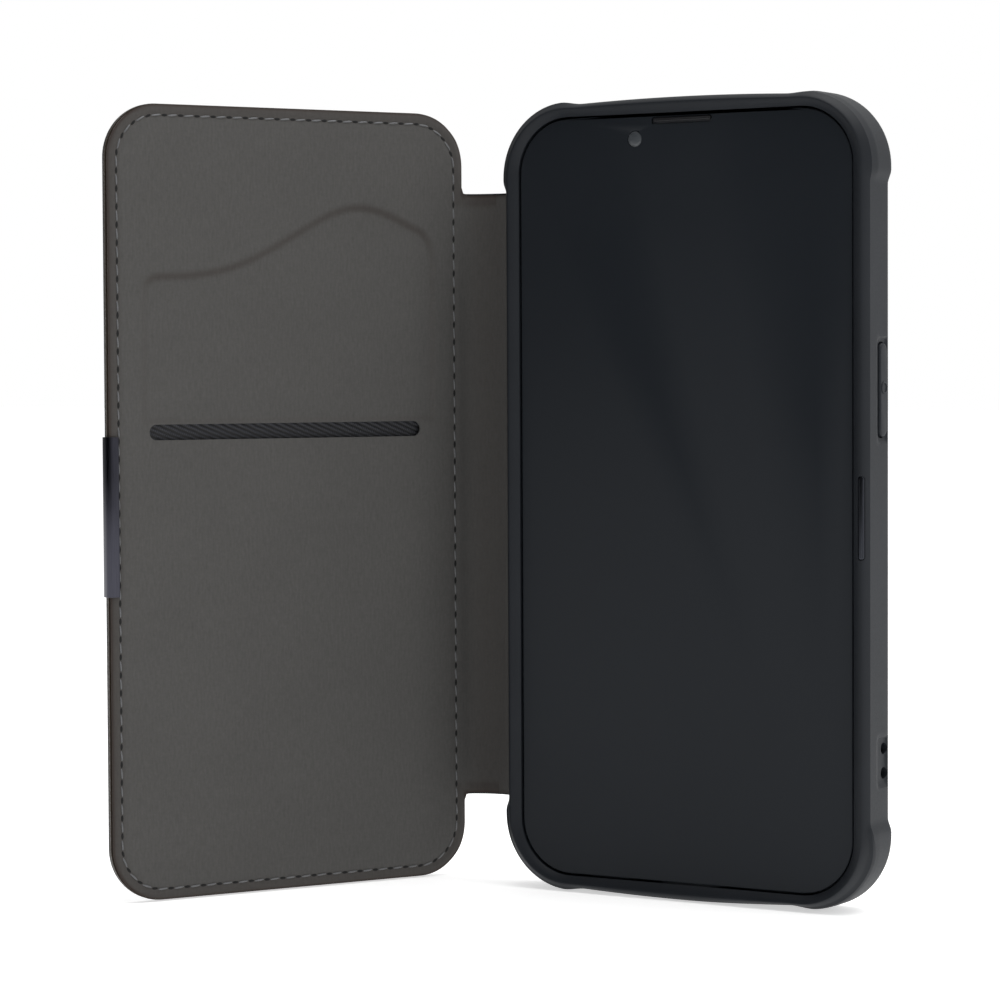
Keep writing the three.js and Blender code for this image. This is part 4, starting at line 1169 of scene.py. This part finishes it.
inner_seam = row_of_stitches("seam_inside", 1, CLOTH_TOP - 0.06)
outer_seam = row_of_stitches("seam_outside", -1, 1.3 - 0.02)
for piece in (inner_seam, outer_seam):
    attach(piece, "cover")
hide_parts("seam_thread")
needle_holes("stitch_hole_shade_inside", 1, CLOTH_TOP - 0.08)
needle_holes("stitch_hole_shade_outside", -1, 1.29)

# ---------------------------------------------------------------- clasp
# A strip of spring steel, folded over the cover's free edge and gunmetal plated. Its outer
# leg is long and its inner leg short, and its edges are tumbled round.

# Gunmetal plate: dark, slightly violet, with a satin gloss and fine marks along its length.
gunmetal, bright = material("satin_gunmetal_plate", "3F3F47", 0.3, Metallic=1.0)
place = add(bright, "ShaderNodeTexCoord", {}).outputs["Object"]
along_z = add(bright, "ShaderNodeMapping", {"Vector": place, "Scale": (6000, 6000, 200)})
satin = add(bright, "ShaderNodeTexNoise", {"Vector": along_z.outputs["Vector"], "Scale": 1})
rough = add(bright, "ShaderNodeMapRange", {"Value": satin.outputs["Fac"], "To Min": 0.22,
    "To Max": 0.4})
link(bright, rough.outputs["Result"], "Roughness")
tone = add(bright, "ShaderNodeMix", {"Factor": satin.outputs["Fac"], "A": linear("37373E"),
    "B": linear("47474F")}, data_type="RGBA")
link(bright, tone.outputs["Result"], "Base Color")

clasp_low, clasp_high = corners_of("clasp")
STEEL = 0.42
LEG_FACE = CLOTH_TOP + 0.05 + STEEL / 2
INNER_LEG = 1.8
OUTER_LEG = 7.0
BEND = 1.05
BEND_STEPS = 6
EDGE_STANDS = 0.26     # middle of the steel beyond the cover's edge
bpy.ops.object.select_all(action="DESELECT")
bpy.ops.mesh.primitive_plane_add(size=MM)
clasp = started("folded_clasp")
edge_at = COVER_WIDTH - INNER_LEG + 0.5
put(clasp, np.array([(edge_at - 0.5, LEG_FACE, clasp_low[2]), (edge_at, LEG_FACE, clasp_low[2]),
    (edge_at - 0.5, LEG_FACE, clasp_high[2]), (edge_at, LEG_FACE, clasp_high[2])]))
path = [(COVER_WIDTH + EDGE_STANDS - BEND, LEG_FACE)]
for side in (1, -1):
    for i in range(1, BEND_STEPS + 1):
        turn = math.pi / 2 * (i / BEND_STEPS if side > 0 else 1 - i / BEND_STEPS)
        path.append((COVER_WIDTH + EDGE_STANDS - BEND + BEND * math.sin(turn),
            side * (LEG_FACE - BEND + BEND * math.cos(turn))))
    if side > 0:
        path.append((COVER_WIDTH + EDGE_STANDS, -(LEG_FACE - BEND)))
path.append((COVER_WIDTH - OUTER_LEG, -LEG_FACE))
last = (edge_at, LEG_FACE)
for s, y in path:
    only(clasp)
    at = points(clasp)
    ends = np.hypot(at[:, 0] - last[0], at[:, 1] - last[1]) < 0.02
    for vertex, chosen in zip(clasp.data.vertices, ends):
        vertex.select = bool(chosen)
    for edge in clasp.data.edges:
        edge.select = bool(ends[edge.vertices[0]] and ends[edge.vertices[1]])
    for polygon in clasp.data.polygons:
        polygon.select = False
    bpy.ops.object.mode_set(mode="EDIT")
    bpy.ops.mesh.select_mode(type="EDGE")
    bpy.ops.mesh.extrude_edges_move(TRANSFORM_OT_translate={"value": ((s - last[0]) * MM,
        (y - last[1]) * MM, 0)})
    bpy.ops.object.mode_set(mode="OBJECT")
    last = (s, y)
face_out(clasp)
thicken(clasp, STEEL)
folded(clasp, lambda u: 0 * u)
face_out(clasp)
finish_with(clasp, "BEVEL", width=0.1 * MM, segments=2, limit_method="ANGLE",
    angle_limit=math.radians(50))
dress(clasp, gunmetal, 35)
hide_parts("clasp")
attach(clasp, "cover")

# ---------------------------------------------------------------- camera ring
# A moulded frame round the camera window, glued into the back panel. It stands proud of the
# leather so that the lenses never touch a table, and its edges are rounded over.
ring_piece = slab("camera_frame", window_low, window_high, ring_corner, 1, 14)
cut_out(ring_piece, slab("window", (window_low[0] + RING, 0, window_low[2] + RING),
    (window_high[0] - RING, 60, window_high[2] - RING), WINDOW_CORNER, 1, 14))
bevelled(ring_piece, lambda middle, along: abs(middle[1] - window_high[1]) < 0.01, 0.5, 4)
dress(ring_piece, elastomer, 35)
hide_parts("camera_ring")
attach(ring_piece, "tray")

# ---------------------------------------------------------------- handset
# A plain dummy of the handset that the tray grips: an anodised body, a sheet of dark glass
# with ground edges, an earpiece grille and a lens in it, and a camera plate behind.

# Chemically strengthened glass over an unlit display: near black, blue-grey, low gloss, with
# faint smears about 40 mm across.
glass, pane = material("dark_display_glass", "1D2024", 0.22, IOR=1.45, Specular_IOR_Level=0.1)
place = add(pane, "ShaderNodeTexCoord", {}).outputs["Object"]
smear = add(pane, "ShaderNodeTexNoise", {"Vector": place, "Scale": 25, "Detail": 5})
rough = add(pane, "ShaderNodeMapRange", {"Value": smear.outputs["Fac"], "To Min": 0.16,
    "To Max": 0.3})
link(pane, rough.outputs["Result"], "Roughness")
tone = add(pane, "ShaderNodeMix", {"Factor": smear.outputs["Fac"], "A": linear("202327"),
    "B": linear("24272B")}, data_type="RGBA")
link(pane, tone.outputs["Result"], "Base Color")

glass_low, glass_high = corners_of("handset_glass")
slot_low, slot_high = corners_of("earpiece_grille")
front_glass = slab("front_glass", glass_low, glass_high, 10.5, 1, 20)
cut_out(front_glass, slab("earpiece", slot_low - (0.35, 2, 0.5), slot_high + (0.35, 2, 0.12),
    0.5, 1))


def disc(name, node, grow=0, deeper=0, vertices=48):
    """A round piece along Y where the frame has one."""
    low, high = corners_of(node)
    bpy.ops.object.select_all(action="DESELECT")
    bpy.ops.mesh.primitive_cylinder_add(vertices=vertices,
        radius=((high[0] - low[0]) / 2 + grow) * MM,
        depth=(high[1] - low[1] + 2 * deeper) * MM, location=(low + high) / 2 * MM,
        rotation=(math.pi / 2, 0, 0))
    return started(name)


cut_out(front_glass, disc("lens_hole", "front_lens", 0.1, 2))
bevelled(front_glass, lambda middle, along: abs(middle[1] - glass_low[1]) < 0.001
    and min(middle[0] - glass_low[0], glass_high[0] - middle[0], middle[2] - glass_low[2],
    glass_high[2] - middle[2]) < 3.2 and not (slot_low[0] - 1 < middle[0] < slot_high[0] + 1
    and middle[2] > slot_low[2] - 0.5 and middle[2] < glass_high[2] - 0.1), 0.28, 4)
dress(front_glass, glass, 25)
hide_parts("handset_glass")
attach(front_glass, "handset")

# Anodised aluminium, bead blasted: dark grey with a soft metallic gloss. The grain is 0.1 mm
# and is drawn at 0.3 mm so that it shows.
anodised, metal = material("anodised_aluminium", "3C3E42", 0.38, Metallic=0.35)
place = add(metal, "ShaderNodeTexCoord", {}).outputs["Object"]
blast = add(metal, "ShaderNodeTexNoise", {"Vector": place, "Scale": 3000, "Detail": 2})
rough = add(metal, "ShaderNodeMapRange", {"Value": blast.outputs["Fac"], "To Min": 0.32,
    "To Max": 0.46})
link(metal, rough.outputs["Result"], "Roughness")
bump = add(metal, "ShaderNodeBump", {"Height": blast.outputs["Fac"], "Strength": 0.15,
    "Distance": 0.02 * MM})
link(metal, bump.outputs["Normal"], "Normal")

body = slab("handset_case", body_low, body_high, HANDSET_CORNER, 1, 20)
bevelled(body, lambda middle, along: abs(along[1]) < 0.2, 1.5, 5)
dress(body, anodised, 25)
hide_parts("handset_body")
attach(body, "handset")

plate_low, plate_high = corners_of("rear_camera_plate")
plate_piece = slab("camera_plate", plate_low, plate_high, 6.0, 1, 14)
bevelled(plate_piece, lambda middle, along: abs(middle[1] - plate_high[1]) < 0.01, 0.45, 4)
dress(plate_piece, anodised, 25)
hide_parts("rear_camera_plate")
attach(plate_piece, "handset")

# Pressed earpiece mesh: a dark strip with fine holes 0.4 mm apart.
mesh_metal, wire = material("pressed_grille_mesh", "1A1A1C", 0.5, Metallic=0.6)
place = add(wire, "ShaderNodeTexCoord", {}).outputs["Object"]
holes = add(wire, "ShaderNodeTexVoronoi", {"Vector": place, "Scale": 2600, "Randomness": 0.0})
open_hole = add(wire, "ShaderNodeMapRange", {"Value": holes.outputs["Distance"],
    "From Min": 0.25, "From Max": 0.4})
tone = add(wire, "ShaderNodeMix", {"Factor": open_hole.outputs["Result"], "A": linear("050505"),
    "B": linear("2C2C2F")}, data_type="RGBA")
link(wire, tone.outputs["Result"], "Base Color")
bump = add(wire, "ShaderNodeBump", {"Height": open_hole.outputs["Result"], "Strength": 0.6,
    "Distance": 0.08 * MM})
link(wire, bump.outputs["Normal"], "Normal")
grille = slab("earpiece_mesh", slot_low, slot_high, 0.39, 1)
bevelled(grille, lambda middle, along: abs(middle[1] - slot_low[1]) < 0.001, 0.08, 2)
dress(grille, mesh_metal)
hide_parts("earpiece_grille")
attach(grille, "handset")

# Coated lens glass: black-blue, high gloss, clean but for a trace of haze.
coated, optic = material("coated_lens_glass", "0C1016", 0.08, IOR=1.52, Coat_Weight=0.4,
    Coat_Roughness=0.05)
place = add(optic, "ShaderNodeTexCoord", {}).outputs["Object"]
haze = add(optic, "ShaderNodeTexNoise", {"Vector": place, "Scale": 300})
tone = add(optic, "ShaderNodeMix", {"Factor": haze.outputs["Fac"], "A": linear("090D13"),
    "B": linear("131A24")}, data_type="RGBA")
link(optic, tone.outputs["Result"], "Base Color")


def lens(name, node, side, rim, finish):
    """A lens in its mount: a rounded rim, a step down and a domed glass."""
    piece = disc(name, node)
    low, high = corners_of(node)
    face = high[1] if side > 0 else low[1]
    bevelled(piece, lambda middle, along: abs(middle[1] - face) < 0.001, rim * 0.3, 3)
    faced(piece, lambda middle, normal: abs(middle[1] - face) < 0.001 and abs(normal[1]) > 0.9)
    bpy.ops.mesh.inset(thickness=rim * MM)
    bpy.ops.mesh.extrude_region_move(TRANSFORM_OT_translate={"value": (0, -side * rim * 0.5 * MM,
        0)})
    for i in range(3):
        bpy.ops.mesh.inset(thickness=rim * 0.8 * MM)
        bpy.ops.transform.translate(value=(0, side * rim * (0.22 - 0.06 * i) * MM, 0))
    bpy.ops.object.mode_set(mode="OBJECT")
    dress(piece, finish, 30)
    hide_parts(node)
    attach(piece, "handset")


# Smoked cover of the small front lens: grey, softly glossy.
smoked, smoke = material("smoked_lens_cover", "3C3F42", 0.22, IOR=1.5)
place = add(smoke, "ShaderNodeTexCoord", {}).outputs["Object"]
haze = add(smoke, "ShaderNodeTexNoise", {"Vector": place, "Scale": 700})
tone = add(smoke, "ShaderNodeMix", {"Factor": haze.outputs["Fac"], "A": linear("393C3F"),
    "B": linear("505458")}, data_type="RGBA")
link(smoke, tone.outputs["Result"], "Base Color")

lens("front_camera", "front_lens", -1, 0.12, smoked)
lens("main_camera_upper", "rear_lens_upper", 1, 1.1, coated)
lens("main_camera_lower", "rear_lens_lower", 1, 1.1, coated)

# Diffusing flash cover: frosted, warm white, with prisms 0.6 mm across.
frosted, diffuser = material("frosted_flash_cover", "C9C3B2", 0.5, IOR=1.49)
place = add(diffuser, "ShaderNodeTexCoord", {}).outputs["Object"]
prisms = add(diffuser, "ShaderNodeTexVoronoi", {"Vector": place, "Scale": 1800})
tone = add(diffuser, "ShaderNodeMix", {"Factor": prisms.outputs["Distance"],
    "A": linear("D8D2C2"), "B": linear("A9A293")}, data_type="RGBA")
link(diffuser, tone.outputs["Result"], "Base Color")
flash = disc("flash_window", "rear_flash")
flash_face = corners_of("rear_flash")[1][1]
bevelled(flash, lambda middle, along: abs(middle[1] - flash_face) < 0.001, 0.12, 3)
dress(flash, frosted)
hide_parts("rear_flash")
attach(flash, "handset")

# ---------------------------------------------------------------- studio
# A floor of white paper that glows a little, a soft sky that is brighter behind the case than
# in front of it, and one square lamp overhead for the shadow.
bpy.ops.object.select_all(action="DESELECT")
bpy.ops.mesh.primitive_plane_add(size=12, location=(0, 0, -0.0002))
floor = started("studio_floor")
paper, sheen = material("matt_white_paper", "F4F4F4", 0.9)
sheen.inputs["Emission Color"].default_value = (1, 1, 1, 1)
sheen.inputs["Emission Strength"].default_value = 0.55
floor.data.materials.append(paper)

world = bpy.data.worlds.new("studio")
world.use_nodes = True
bpy.context.scene.world = world
sky = world.node_tree
sky.nodes["Background"].inputs["Color"].default_value = (1, 1, 1, 1)
way = sky.nodes.new("ShaderNodeTexCoord")
level = sky.nodes.new("ShaderNodeVectorMath")
level.operation = "DOT_PRODUCT"
level.inputs[1].default_value = (0.30, 0.46, 0.30)
lifted = sky.nodes.new("ShaderNodeMath")
lifted.inputs[1].default_value = 0.39
rays = sky.nodes.new("ShaderNodeLightPath")
seen = sky.nodes.new("ShaderNodeMix")
sky.links.new(way.outputs["Generated"], level.inputs[0])
sky.links.new(level.outputs["Value"], lifted.inputs[0])
sky.links.new(rays.outputs["Is Camera Ray"], seen.inputs["Factor"])
sky.links.new(lifted.outputs["Value"], seen.inputs["A"])
seen.inputs["B"].default_value = 1.0
sky.links.new(seen.outputs["Result"], sky.nodes["Background"].inputs["Strength"])


def softbox(name, place, size, power, aim=(0, 0, 0.07)):
    lamp = bpy.data.lights.new(name, "AREA")
    lamp.shape = "SQUARE"
    lamp.size = size
    lamp.energy = power
    made = bpy.data.objects.new(name, lamp)
    made.location = place
    made.rotation_mode = "QUATERNION"
    made.rotation_quaternion = (Vector(place) - Vector(aim)).to_track_quat("Z", "Y")
    bpy.context.scene.collection.objects.link(made)


softbox("top_softbox", (0.25, 0.1, 1.05), 0.9, 8)
